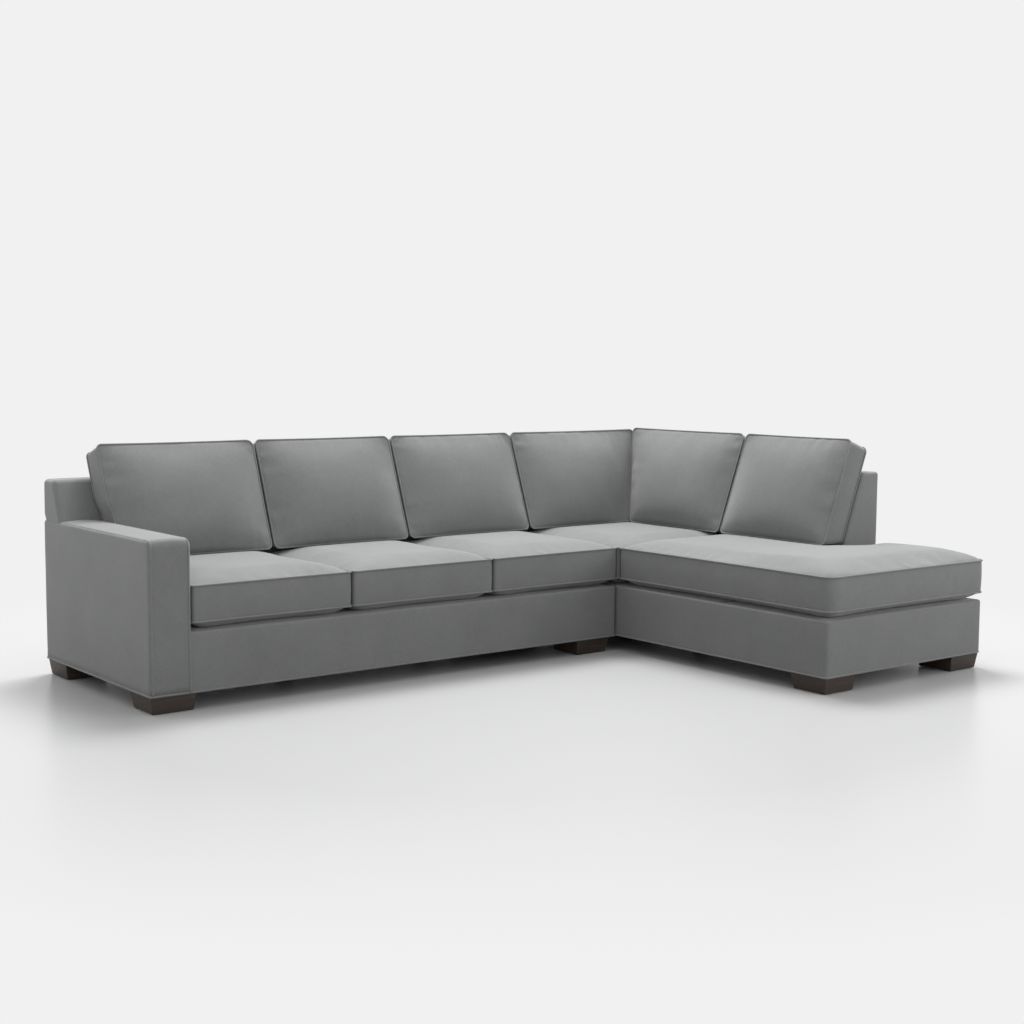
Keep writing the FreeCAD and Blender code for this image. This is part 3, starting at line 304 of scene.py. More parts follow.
def smooth_loop(points, closed, step):
    """Even points on a soft line through the given ones."""
    points = [Vector(p) for p in points]
    count = len(points)
    line = []
    spans = count if closed else count - 1
    for index in range(spans):
        p0 = points[index - 1] if closed or index > 0 else points[0]
        p1 = points[index]
        p2 = points[(index + 1) % count]
        p3 = points[(index + 2) % count] if closed or index + 2 < count else points[-1]
        parts = max(1, round((p2 - p1).length / step))
        for part in range(parts):
            t = part / parts
            a = -t ** 3 + 2 * t ** 2 - t
            b = 3 * t ** 3 - 5 * t ** 2 + 2
            c = -3 * t ** 3 + 4 * t ** 2 + t
            d = t ** 3 - t ** 2
            line.append((a * p0 + b * p1 + c * p2 + d * p3) / 2)
    if not closed:
        line.append(points[-1])
    return line


def welt(name, points, body, closed=False, radius=WELT, sides=10):
    """A round cord in its own strip of cloth, along a seam."""
    count = len(points)
    vertices = []
    faces = []
    up = Vector((0.31, 0.52, 0.79))
    for index, point in enumerate(points):
        ahead = points[(index + 1) % count] if closed else points[min(index + 1, count - 1)]
        behind = points[index - 1] if closed or index else points[0]
        tangent = (ahead - behind).normalized()
        if tangent.length < 0.5:
            tangent = Vector((1, 0, 0))
        side = (up - tangent * up.dot(tangent)).normalized()
        up = side
        other = tangent.cross(side)
        swell = 1 + 0.05 * noise.noise(point * 45.0)
        for turn in range(sides):
            angle = math.tau * turn / sides
            vertices.append(point + (side * math.cos(angle) + other * math.sin(angle)) * radius * swell)
    rings = count if closed else count - 1
    if closed:
        first = Vector(vertices[0]) - points[0]
        last_frame = [Vector(v) - points[-1] for v in vertices[-sides:]]
        shift = max(range(sides), key=lambda k: last_frame[k].dot(first))
    for index in range(rings):
        low = index * sides
        high = (index + 1) % count * sides
        for turn in range(sides):
            twist = shift if closed and index == count - 1 else 0
            a = low + (turn + twist) % sides
            b = low + (turn + twist + 1) % sides
            faces.append((a, b, high + (turn + 1) % sides, high + turn))
    if not closed:
        faces.append(tuple(range(sides))[::-1])
        faces.append(tuple(range(len(vertices) - sides, len(vertices))))
    # Every welt takes the welt cloth with its faint painted highlight.
    settle(object_from(name, vertices, faces, WELT_CLOTH_PAINTED_HIGHLIGHT), body, "upholstery")


# Cushions.

CELL = 0.0125
INSET = 0.0036
SIDE_INSET = 0.0064
REACH = 0.0016
FREE_SIDE = 0.009
SEAT_WIDE = 0.676
SEAT_LEFTS = (-1.418, -0.738, -0.058)
SEAT_REAR_Y = 0.8585
SEAT_SEAMS = (0.3206, 0.4526)
SEAT_FLOOR = 0.2882
CORNER_LEFT_X = 0.622
CORNER_RIGHT_X = 1.366
BACK_BORDER = 0.116
BACK_TALL = 0.42485
FOOT_Y = 0.8558
FOOT_Z = 0.4872
MOST_MOVE = 0.026
HOLLOW_GAP = 0.010


def around(ring):
    """Each item of a closed ring with the next one."""
    return zip(ring, ring[1:] + ring[:1])


def soft_step(share):
    """From 0 to 1 with soft ends."""
    return share * share * (3 - 2 * share)


class Cushion:
    """A boxed cushion on a grid: a crowned panel at each side and a band between two welted seams."""

    def __init__(
        self, name, body, size, notch, seams, warp, place, heights, insets, turns, draw, dome=0.0, full=0.0
    ):
        self.name = name
        self.body = body
        self.place = place
        self.warp = warp
        self.turns = turns
        self.draw = draw
        width, depth = size
        self.corners = [(0, 0), (width, 0), (width, depth), (0, depth)]
        if notch:
            self.corners[2:3] = [(width, notch[1]), notch, (notch[0], depth)]
        self.hollow = 3 if notch else None
        stops = notch or (None, None)
        xs = self.lines(width, stops[0])
        ys = self.lines(depth, stops[1])
        keep = lambda i, j: not notch or xs[i] < notch[0] - 1e-6 or ys[j] < notch[1] - 1e-6
        cells = [(i, j) for i in range(len(xs) - 1) for j in range(len(ys) - 1) if keep(i, j)]
        spots = sorted({(i + a, j + b) for i, j in cells for a in (0, 1) for b in (0, 1)})
        find = {spot: index for index, spot in enumerate(spots)}
        total = len(spots)
        near = lambda values, value: min(range(len(values)), key=lambda k: abs(values[k] - value))
        walk = []
        for start, stop in around([(near(xs, x), near(ys, y)) for x, y in self.corners]):
            steps = max(abs(b - a) for a, b in zip(start, stop))
            walk += [tuple(a + (b - a) * step // steps for a, b in zip(start, stop)) for step in range(steps)]
        rows = max(3, round((seams[1] - seams[0]) / CELL))
        flat = np.array([(xs[i], ys[j]) for i, j in spots])
        border = np.array([(xs[i], ys[j]) for i, j in walk])
        inside = self.depth_inside(flat)
        if full:
            swell = self.plump(inside, flat, heights[1], full)
        elif dome:
            swell = heights[1] * self.dome(flat[:, 0] / width, flat[:, 1] / depth, dome)
        else:
            swell = heights[1] * self.crown(inside, insets[1])
        plan = [flat, flat]
        level = [seams[0] - heights[0] * self.crown(inside, insets[0]), seams[1] + swell]
        for row in range(1, rows):
            plan.append(border)
            level.append(np.full(len(border), seams[0] + (seams[1] - seams[0]) * row / rows))
        self.flat = np.concatenate(plan)
        self.level = np.concatenate(level)
        self.upper = slice(total, 2 * total)
        self.panels = 2 * total
        self.inside = np.concatenate([inside, inside, np.zeros(len(self.level) - self.panels)])
        self.bottom_loop = [find[spot] for spot in walk]
        self.top_loop = [find[spot] + total for spot in walk]
        count = len(walk)
        bands = [list(range(low, low + count)) for low in range(self.panels, len(self.level), count)]
        loops = [self.bottom_loop, *bands, self.top_loop]
        self.faces = []
        for i, j in cells:
            corner = tuple(find[spot] for spot in ((i, j), (i + 1, j), (i + 1, j + 1), (i, j + 1)))
            self.faces += [corner[::-1], tuple(c + total for c in corner)]
        for low, high in zip(loops, loops[1:]):
            self.faces += [(a, b, d, c) for (a, b), (c, d) in zip(around(low), around(high))]
        self.reshape()

    @staticmethod
    def lines(length, stop):
        """Grid lines, closer together towards the ends of each run."""
        stops = [0.0, length] if stop is None else [0.0, stop, length]
        values = [0.0]
        for low, high in zip(stops, stops[1:]):
            parts = max(2, round((high - low) / CELL))
            for part in range(1, parts + 1):
                share = part / parts
                share -= 0.36 * math.sin(math.tau * share) / math.tau
                values.append(low + (high - low) * share)
        return values

    def depth_inside(self, points):
        """How far each point lies inside the outline, softened where two sides are near.

        The length walked round the outline to the nearest spot is kept for the gathers.
        """
        soft = 0.018
        total = np.zeros(len(points))
        nearest = np.full(len(points), 9.0)
        self.walked = np.zeros(len(points))
        walked = 0.0
        for start, stop in around(self.corners):
            a = np.array(start)
            run = np.array(stop) - a
            share = np.clip(((points - a) @ run) / (run @ run), 0, 1)
            gap = np.linalg.norm(points - a - share[:, None] * run, axis=1)
            total += np.exp(-gap / soft)
            closer = gap < nearest
            length = np.linalg.norm(run)
            self.walked = np.where(closer, walked + share * length, self.walked)
            nearest = np.where(closer, gap, nearest)
            walked += length
        return np.clip(-soft * np.log(total), 0, None)

    @staticmethod
    def crown(inside, inset):
        """A swell that rises within the inset and stays level beyond it."""
        share = np.clip(inside / inset, 0, 1)
        return (1 - (1 - share) ** 2.4) ** 0.94

    @staticmethod
    def plump(inside, flat, height, full):
        """A broad crown, lower where the back cushions press on it."""
        free = soft_step(np.clip((full - flat[:, 1]) / 0.45, 0, 1))
        share = np.clip(inside / (0.12 + 0.04 * free), 0, 1)
        return (height + 0.011 * free) * (1 - (1 - share) ** 2) ** 0.72

    @staticmethod
    def dome(across, up, low, fade=0.0):
        """A full swell over the whole panel, fullest at the share low of its height."""
        up = np.clip(up, 0, 1) ** (math.log(0.5) / math.log(low))
        tall = (1 - (2 * up - 1) ** 2) ** 0.68
        wide = (1 - np.abs(2 * across - 1) ** 2.8) ** (0.8 + fade * (across > 0.5))
        return tall * wide

    def reshape(self):
        """Corners rounded, sides drawn in between them, then the cushion's own slants."""
        points = self.flat.copy()
        corners = [np.array(corner, float) for corner in self.corners]
        for index, (corner, reach) in enumerate(zip(corners, self.turns)):
            back = corners[index - 1] - corner
            ahead = corners[(index + 1) % len(corners)] - corner
            back = back / np.linalg.norm(back)
            ahead = ahead / np.linalg.norm(ahead)
            if back[1] * ahead[0] - back[0] * ahead[1] < 0:
                continue
            a = (self.flat - corner) @ ahead
            b = (self.flat - corner) @ back
            hit = (a < reach) & (b < reach)
            x = (reach - a[hit]) / reach
            y = (reach - b[hit]) / reach
            new_x = x * np.sqrt(1 - y * y / 2)
            new_y = y * np.sqrt(1 - x * x / 2)
            moved = corner + (reach - new_x * reach)[:, None] * ahead
            points[hit] = moved + (reach - new_y * reach)[:, None] * back
        for a, b in around(corners):
            length = np.linalg.norm(b - a)
            run = (b - a) / length
            inward = np.array([-run[1], run[0]])
            share = np.clip(((self.flat - a) @ run) / length, 0, 1)
            gap = np.abs((self.flat - a) @ inward)
            draw = self.draw * length * 4 * share * (1 - share) * np.exp(-gap / 0.09)
            points += draw[:, None] * inward
        self.local = self.warp(points, self.level)

    def build(self):
        self.start = self.to_world(self.local)
        self.blown = self.start
        self.piece = object_from(self.name + "_soft", self.start, self.faces, UPHOLSTERY)

    def to_world(self, local):
        matrix = np.array(self.place)
        return local @ matrix[:3, :3].T + matrix[:3, 3]

    def to_local(self, world):
        matrix = np.array(self.place)
        return (world - matrix[:3, 3]) @ matrix[:3, :3]


def stepped(values, low, high):
    """From 0 at low to 1 at high, with soft ends."""
    return soft_step(np.clip((values - low) / (high - low), 0, 1))


def pressed(x, y):
    """How far the feet of the back cushions press the seats down."""
    long_run = stepped(y, 0.645, 0.735)
    short_run = stepped(x, 1.150, 1.240) * stepped(y, -0.600, -0.530)
    return 0.009 * np.maximum(long_run, short_run)


def seat_shape(name, body, low, high, notch=None, turns=(0.013,) * 4):
    """A seat cushion between two corners of its plan."""
    size = tuple(b - a - 2 * INSET for a, b in zip(low, high))
    if notch:
        notch = tuple(b - a - 2 * INSET for a, b in zip(low, notch))
    full = 0.62 if notch else 0.0
    base = np.array(low) + INSET

    def warp(points, level):
        spots = points + base
        if notch:
            spots[:, 0] += FREE_SIDE * np.clip((spots[:, 0] - 1.25) / 0.33, 0, 1)
            spots[:, 1] -= FREE_SIDE * np.clip((-0.75 - spots[:, 1]) / 0.33, 0, 1)
        return np.column_stack([spots, level])

    def ceiling_at(spots, inside):
        crown = Cushion.plump(inside, spots, 0.0345, full) if notch else 0.0335 * Cushion.crown(inside, 0.120)
        return SEAT_SEAMS[1] + 0.003 + crown - pressed(*(spots + base).T)

    made = Cushion(
        name, body, size, notch, SEAT_SEAMS, warp, Matrix.Identity(4), (0.031, 0.033), (0.086, 0.140), turns,
        draw=0.006, full=full,
    )
    made.floor = SEAT_FLOOR
    made.ceiling_at = ceiling_at
    share = Cushion.crown(made.inside[made.upper], 0.06)
    made.level[made.upper] -= share * pressed(*(made.flat[made.upper] + base).T)
    made.reshape()
    return made


def upright(rise, level):
    """A left side that stands square to the foot."""
    return 0.0


def above_foot(rise, level):
    """The height over its foot of a point on a leaning cushion."""
    return rise * math.cos(LEAN) + np.minimum(level, BACK_BORDER) * math.sin(LEAN)


def over_arm(rise, level):
    """The first cushion's left side swells out over the arm."""
    share = np.clip((above_foot(rise, level) - (ARM_TOP + 0.012 - FOOT_Z)) / 0.10, 0, 1)
    return -0.022 * soft_step(share)


def against_corner(rise, level):
    """The fifth cushion's left side leans back with the fourth cushion's crown."""
    return 0.004 - above_foot(rise, level) * LEAN_SHARE


def back_shape(number, spot, width, left=upright, slant=0.0, flat_side=0.0, turn=0, raised=0.003):
    """A back cushion on its leaning plane: X along the back, Y up the lean and Z out to its crown."""
    top = BACK_TALL + raised
    size = (width - 2 * SIDE_INSET, top - 2 * INSET)
    rotation = Matrix.Rotation(math.radians(turn), 4, "Z") @ Matrix.Rotation(math.pi / 2 - LEAN, 4, "X")

    def warp(points, level):
        foot = -np.minimum(level, BACK_BORDER) * LEAN_SHARE + INSET - 0.0060
        rise = foot + points[:, 1] / size[1] * (top - INSET - foot)
        start = left(rise, level) + SIDE_INSET
        stop = width + slant * np.maximum(rise, 0) / 0.3817 - SIDE_INSET
        return np.column_stack([start + points[:, 0] / size[0] * (stop - start), rise, level])

    def free_wide(spots):
        """The width that is left beside a side pressed flat."""
        return size[0] - flat_side * (1.0 - 0.85 * spots[:, 1] / size[1])

    def ceiling_at(spots, inside):
        if flat_side:
            inside = np.clip(np.minimum(inside, free_wide(spots) - spots[:, 0]), 0, None)
        return BACK_BORDER + 0.002 + 0.0580 * Cushion.crown(inside, 0.095)

    made = Cushion(
        f"back_cushion_{number}", f"back_{number}", size, None, (0.010, BACK_BORDER), warp,
        Matrix.Translation((*spot, FOOT_Z)) @ rotation, (0.009, 0.054), (0.060, 0.110),
        (0.020, 0.020, 0.027, 0.018), draw=0.003, dome=0.40,
    )
    made.floor = 0.0005
    made.ceiling_at = ceiling_at
    if flat_side:
        spots = made.flat[made.upper]
        across = np.clip(spots[:, 0] / free_wide(spots), 0, 1)
        made.level[made.upper] = BACK_BORDER + 0.050 * Cushion.dome(across, spots[:, 1] / size[1], 0.40, 0.7)
        made.reshape()
    return made


cushions = []
for number, x in enumerate(SEAT_LEFTS, start=1):
    corners = (x, FRONT_Y), (x + SEAT_WIDE, SEAT_REAR_Y)
    cushions.append(seat_shape(f"seat_cushion_{number}", f"seat_{number}", *corners))
cushions += [
    seat_shape("corner_seat_cushion", "corner_seat", (CORNER_LEFT_X, 0.1145), (CORNER_RIGHT_X, SEAT_REAR_Y)),
    seat_shape(
        "bumper_seat_cushion", "bumper_seat", (CORNER_LEFT_X, BUMPER_FRONT_Y), (RIGHT_X, 0.1105),
        (CORNER_RIGHT_X, -0.5245), (0.046, 0.034, 0.014, 0.013, 0.013, 0.013),
    ),
]
for number, x in enumerate(SEAT_LEFTS, start=1):
    cushions.append(back_shape(number, (x, FOOT_Y), SEAT_WIDE, over_arm if number == 1 else upright))
cushions += [
    back_shape(4, (CORNER_LEFT_X, FOOT_Y), 0.744, slant=0.044, flat_side=0.160),
    back_shape(5, (1.3633, 0.7321), 0.6176, against_corner, turn=-90, raised=0.011),
    back_shape(6, (1.3633, 0.1105), 0.633, turn=-90, raised=0.011),
]


def lumps(points, seed):
    """Slow unevenness of a filling, in metres of swell."""
    shift = Vector((seed * 3.1, seed * 1.7, seed * 0.9))
    values = []
    for point in points:
        spot = Vector(point)
        wide = noise.noise(spot * 3.4 + shift)
        close = noise.noise(spot * 9.0 + shift)
        values.append(0.0042 * wide + 0.0014 * close)
    return np.array(values)


def puckers(item):
    """Short shallow gathers that run in from the seams."""
    inside = item.inside[item.upper]
    waves = [noise.noise(Vector((spot * 34.0, item.seed * 2.3, 0.5))) for spot in item.walked]
    broad = [noise.noise(Vector((spot * 6.0, item.seed * 1.1, 7.5))) for spot in item.walked]
    strength = np.clip(0.45 + 1.5 * np.array(broad), 0.1, 1.2)
    return 0.0082 * np.array(waves) * strength * np.exp(-inside / 0.034) * (1 - np.exp(-inside / 0.007))


for seed, item in enumerate(cushions, start=1):
    item.seed = seed
    fade = Cushion.crown(item.inside[item.upper], 0.10)
    item.level[item.upper] += lumps(item.local[item.upper], seed) * fade - 0.004 * fade
    item.reshape()
    item.build()


FRAMES = 20
CALMING = 7
CLOTH = dict(
    quality=4, mass=0.35, air_damping=4.0,
    tension_stiffness=22, compression_stiffness=18, shear_stiffness=8, bending_stiffness=1.2,
    tension_damping=12, compression_damping=12, shear_damping=12, bending_damping=0.8,
    use_pressure=True, uniform_pressure_force=4.0, vertex_group_mass="seams", pin_stiffness=1.0,
    vertex_group_shrink="seams", shrink_min=-0.006, shrink_max=0.0,
)


def puff(items):
    """Each cushion is blown up as cloth between its pinned seams, all of them in one run."""
    scene = bpy.context.scene
    scene.frame_start = 1
    scene.frame_end = FRAMES
    for item in items:
        seams = item.piece.vertex_groups.new(name="seams")
        seams.add(item.bottom_loop + item.top_loop, 1.0, "REPLACE")
        cloth = item.piece.modifiers.new("cloth", "CLOTH")
        for key, value in CLOTH.items():
            setattr(cloth.settings, key, value)
        cloth.settings.effector_weights.gravity = 0.0
        cloth.collision_settings.use_collision = False
        cloth.collision_settings.use_self_collision = False
        cloth.point_cache.frame_start = 1
        cloth.point_cache.frame_end = FRAMES
    for moment in range(1, FRAMES + 1):
        scene.frame_set(moment)
    graph = bpy.context.evaluated_depsgraph_get()
    for item in items:
        blown = item.piece.evaluated_get(graph).data
        places = np.empty(len(blown.vertices) * 3)
        blown.vertices.foreach_get("co", places)
        item.blown = places.reshape(-1, 3)
    for item in items:
        item.piece.modifiers.clear()
        item.piece.vertex_groups.clear()
    scene.frame_set(1)


puff(cushions)


def eased(value, limit, ease):
    """Values above limit - ease press up against limit."""
    over = value - (limit - ease)
    return np.where(over > 0, limit - ease * np.exp(-np.clip(over, 0, 1) / ease), value)


def outward(ring):
    """The outward directions, in plan, along a closed ring."""
    ahead = np.roll(ring, -1, axis=0) - np.roll(ring, 1, axis=0)
    out = np.column_stack([ahead[:, 1], -ahead[:, 0], np.zeros(len(ring))])
    return out / np.linalg.norm(out, axis=1)[:, None]


def calmed(item, move):
    """Moves evened out between neighbours, so that the cloth lies smooth, with no band drawn inward."""
    pairs = {frozenset(pair) for face in item.faces for pair in around(face)}
    pairs = np.array([sorted(pair) for pair in pairs])
    degree = np.bincount(pairs.ravel(), minlength=len(move))[:, None]
    fixed = np.array(item.bottom_loop + item.top_loop)
    held = move[fixed]
    for _ in range(CALMING):
        total = np.zeros_like(move)
        np.add.at(total, pairs[:, 0], move[pairs[:, 1]])
        np.add.at(total, pairs[:, 1], move[pairs[:, 0]])
        move = 0.4 * move + 0.6 * total / degree
        move[fixed] = held
    count = len(item.bottom_loop)
    matrix = np.array(item.place)[:3, :3]
    start = item.to_local(item.start)
    rows = (len(move) - item.panels) // count
    for row in range(rows):
        band = slice(item.panels + row * count, item.panels + (row + 1) * count)
        out = outward(start[band]) @ matrix.T
        along = np.sum(move[band] * out, axis=1)
        swell = 0.0022 * math.sin(math.pi * (row + 1) / (rows + 1))
        move[band] += (np.maximum(along, swell) - along)[:, None] * out
    return move


def keep_in(item):
    """The blown shape, held near its start and pressed back into its own space, with its gathers."""
    move = calmed(item, item.blown - item.start)
    length = np.linalg.norm(move, axis=1)
    share = np.where(length > 1e-9, MOST_MOVE * np.tanh(length / MOST_MOVE) / np.maximum(length, 1e-9), 1.0)
    local = item.to_local(item.start + move * share[:, None])
    level = local[:, 2]
    outline = [item.warp(np.tile(np.array(c, float), (len(level), 1)), level)[:, :2] for c in item.corners]
    point = local[:, :2]
    for index, (a, b) in enumerate(around(outline)):
        run = b - a
        length = np.linalg.norm(run, axis=1)
        run = run / length[:, None]
        out = np.column_stack([run[:, 1], -run[:, 0]])
        off = np.sum((point - a) * out, axis=1)
        share = np.sum((point - a) * run, axis=1) / length
        first = HOLLOW_GAP / length if index == item.hollow else -0.03
        last = 1 - HOLLOW_GAP / length if (index + 1) % len(outline) == item.hollow else 1.03
        beside = (share > first) & (share < last) & (np.abs(off) < 0.05)
        held = eased(off, INSET + REACH, 0.004)
        point = point + np.where(beside, held - off, 0)[:, None] * out
    local[:, :2] = point
    ceiling = item.ceiling_at(item.flat, item.inside)[item.upper]
    local[item.upper, 2] = eased(local[item.upper, 2], ceiling + 0.002, 0.003) + puckers(item)
    local[:, 2] = -eased(-local[:, 2], -item.floor, 0.004)
    return item.to_world(local)


def dress(item):
    """The finished cushion: creased seams, one subdivision and a welt along each seam."""
    places = keep_in(item)
    mesh = item.piece.data
    mesh.vertices.foreach_set("co", places.astype(np.float32).ravel())
    mesh.update()
    crease = mesh.attributes.new("crease_edge", "FLOAT", "EDGE")
    seam = {frozenset(pair) for loop in (item.bottom_loop, item.top_loop) for pair in around(loop)}
    crease.data.foreach_set("value", [0.75 * (frozenset(edge.vertices) in seam) for edge in mesh.edges])
    rounder = item.piece.modifiers.new("round", "SUBSURF")
    rounder.levels = 1
    rounder.render_levels = 1
    graph = bpy.context.evaluated_depsgraph_get()
    finer = bpy.data.meshes.new_from_object(item.piece.evaluated_get(graph))
    item.piece.modifiers.clear()
    item.piece.data = finer
    smoothed(finer)
    settle(item.piece, item.body, "upholstery", item.name)
    local = item.to_local(places)
    for label, loop in (("low", item.bottom_loop), ("high", item.top_loop)):
        ring = local[loop]
        line = item.to_world(ring + outward(ring) * 0.0012)
        welt(f"{item.name}_welt_{label}", smooth_loop(line, True, 0.0125), item.body, closed=True)


for item in cushions:
    dress(item)


# Fixed upholstery.

RUN = 0.03


def rounded(corners, steps=5):
    """Points of a closed line whose corners (x, y, radius) are rounded."""
    points = []
    for index, (x, y, radius) in enumerate(corners):
        here = Vector((x, y))
        if radius <= 0:
            points.append(here)
            continue
        back = (Vector(corners[index - 1][:2]) - here).normalized()
        ahead = (Vector(corners[(index + 1) % len(corners)][:2]) - here).normalized()
        half = back.angle(ahead) / 2
        reach = radius / math.tan(half)
        centre = here + (back + ahead).normalized() * (radius / math.sin(half))
        first = here + back * reach - centre
        last = here + ahead * reach - centre
        total = first.angle_signed(last)
        for step in range(steps + 1):
            turned = first.copy()
            turned.rotate(Matrix.Rotation(-total * step / steps, 2))
            points.append(centre + turned)
    return points


def filled(points, step, closed=False):
    """The same line with its long runs divided."""
    line = []
    count = len(points)
    for index in range(count if closed else count - 1):
        a = points[index]
        b = points[(index + 1) % count]
        parts = max(1, math.ceil((b - a).length / step))
        line += [a.lerp(b, part / parts) for part in range(parts)]
    if not closed:
        line.append(points[-1])
    return line


def followed(corners, radii, inset):
    """A plan path, set in to its left, with the same number of points at every inset."""
    corners = [Vector(c) for c in corners]
    runs = [(b - a).normalized() for a, b in zip(corners, corners[1:])]
    left = [Vector((-run.y, run.x)) for run in runs]
    points = []
    ends = [corners[0] + left[0] * inset]
    for index in range(1, len(corners) - 1):
        half = (left[index - 1] + left[index]).normalized()
        ends.append(corners[index] + half * (inset / half.dot(left[index])))
    ends.append(corners[-1] + left[-1] * inset)
    turns = 6
    for index, run in enumerate(runs):
        cut_start = cut_stop = 0.0
        if index:
            cut_start = max(radii[index - 1] - inset, 0.0004)
        if index < len(runs) - 1:
            cut_stop = max(radii[index] - inset, 0.0004)
        parts = max(1, math.ceil((corners[index + 1] - corners[index]).length / RUN))
        low = ends[index] + run * cut_start
        high = ends[index + 1] - run * cut_stop
        points += [low.lerp(high, part / parts) for part in range(parts + 1)]
        if index < len(runs) - 1:
            centre = high + left[index] * cut_stop
            for turn in range(1, turns):
                angle = math.pi / 2 * turn / turns
                out = left[index] * cut_stop * math.cos(angle)
                points.append(centre - out + run * cut_stop * math.sin(angle))
    return points


def sweep(name, path, radii, section, body, *replaced, edge=0.008, steps=4):
    """A padded form: a closed section of (inset, height) carried along a plan path, its ends rounded over."""
    section = filled(section, RUN, closed=True)
    size = len(section)
    turn = 1 if sum(a.x * b.y - b.x * a.y for a, b in around(section)) > 0 else -1
    inward = []
    for index, point in enumerate(section):
        run = (section[(index + 1) % size] - section[index - 1]).normalized()
        normal = Vector((-run.y, run.x)) * turn
        if point.y < FOOT_TOP + 0.004:
            normal.y = 0.0
        inward.append(normal)
    lines = [followed(path, radii, point.x) for point in section]
    count = len(lines[0])
    path = [Vector(p) for p in path]
    first = (path[1] - path[0]).normalized()
    last = (path[-1] - path[-2]).normalized()
    vertices = []

    def end_ring(origin, run, step, way):
        angle = math.pi / 2 * step / steps
        drop = way * edge * (1 - math.cos(angle))
        left = Vector((-run.y, run.x))
        for point, normal in zip(section, inward):
            moved = point + normal * (edge * (1 - math.sin(angle)))
            spot = origin + left * moved.x - run * drop
            vertices.append(Vector((spot.x, spot.y, moved.y)))

    for step in range(steps):
        end_ring(path[0], first, step, -1)
    for index in range(count):
        for line, point in zip(lines, section):
            spot = line[index].copy()
            if index == 0:
                spot = spot + first * edge
            if index == count - 1:
                spot = spot - last * edge
            vertices.append(Vector((spot.x, spot.y, point.y)))
    for step in range(steps - 1, -1, -1):
        end_ring(path[-1], last, step, 1)
    rings = [tuple(range(start, start + size)) for start in range(0, len(vertices), size)]
    faces = [(a, b, b + size, a + size)[::turn] for ring in rings[:-1] for a, b in around(ring)]
    faces += [rings[0][::-turn], rings[-1][::turn]]
    piece = object_from(name, vertices, faces, UPHOLSTERY)
    bm = bmesh.new()
    bm.from_mesh(piece.data)
    bmesh.ops.recalc_face_normals(bm, faces=bm.faces)
    for axis in range(3):
        values = [v.co[axis] for v in bm.verts]
        low, high = min(values), max(values)
        parts = math.ceil((high - low) / RUN)
        for part in range(1, parts):
            spot = Vector((0, 0, 0))
            normal = Vector((0, 0, 0))
            spot[axis] = low + (high - low) * part / parts
            normal[axis] = 1
            large = [f for f in bm.faces if len(f.verts) > 4 or f.calc_area() > 0.002]
            cut = list({item for face in large for item in (face, *face.verts, *face.edges)})
            if cut:
                bmesh.ops.bisect_plane(bm, geom=cut, plane_co=spot, plane_no=normal, dist=1e-5)
    bm.to_mesh(piece.data)
    bm.free()
    smoothed(piece.data)
    return settle(piece, body, "upholstery", *replaced)


def soften(piece, wide=0.0012, close=0.0004, seed=0.0):
    """Slow swells of padding under stretched cloth."""
    mesh = piece.data
    normals = [v.normal.copy() for v in mesh.vertices]
    for vertex, normal in zip(mesh.vertices, normals):
        spot = vertex.co + Vector((seed, seed, seed))
        swell = wide * (noise.noise(spot * 3.2) - 0.35) + close * noise.noise(spot * 11.0)
        vertex.co = vertex.co + normal * swell
    mesh.update()


def back_section(rear, front):
    """The wedge of a back, with the radii of its two top edges."""
    low, high = FOOT_TOP + 0.002, BACK_TOP + 0.0015
    corners = [(0.0, low, 0.0), (0.0, high, rear), (BACK_THIN, high, front), (BACK_THICK, SLOPE_Z, 0.026)]
    return rounded([*corners, (BACK_THICK, low, 0.0)], steps=7)


long_back = sweep(
    "sofa_back_padding", [(JOINT_X, REAR_Y + 0.0008), (LEFT_X, REAR_Y + 0.0008)], [],
    back_section(0.022, 0.026), "sofa_section", "sofa_back_cover", edge=0.020, steps=7,
)
for vertex in long_back.data.vertices:
    if vertex.co.x < LEFT_X + 0.04 and vertex.co.z < ARM_TOP - 0.002:
        vertex.co.x += 0.006
soften(long_back)
short_back = sweep(
    "corner_back_padding", [(RIGHT_X, END_BACK_Y), (RIGHT_X, REAR_Y), (BUMPER_X, REAR_Y)], [0.018],
    back_section(0.014, 0.020), "bumper_section", "corner_back_cover", "end_back_cover", edge=0.014,
)
soften(short_back, seed=4.0)

ARM_DEEP = REAR_Y - FRONT_Y
arm = sweep(
    "arm_padding", [(LEFT_X, FRONT_Y), (ARM_INNER_X, FRONT_Y)], [],
    rounded(
        [(0.0, FOOT_TOP, 0.0), (0.0, ARM_TOP, 0.028), (ARM_DEEP, ARM_TOP, 0.015), (ARM_DEEP, FOOT_TOP, 0.0)],
        steps=7,
    ),
    "sofa_section", "arm_cover", edge=0.013,
)
for vertex in arm.data.vertices:
    if vertex.co.z > ARM_TOP - 0.012:
        across = (vertex.co.x - LEFT_X) / (ARM_INNER_X - LEFT_X)
        vertex.co.z += 0.005 * max(0.0, 1 - (2 * across - 1) ** 2)
soften(arm, seed=8.0)

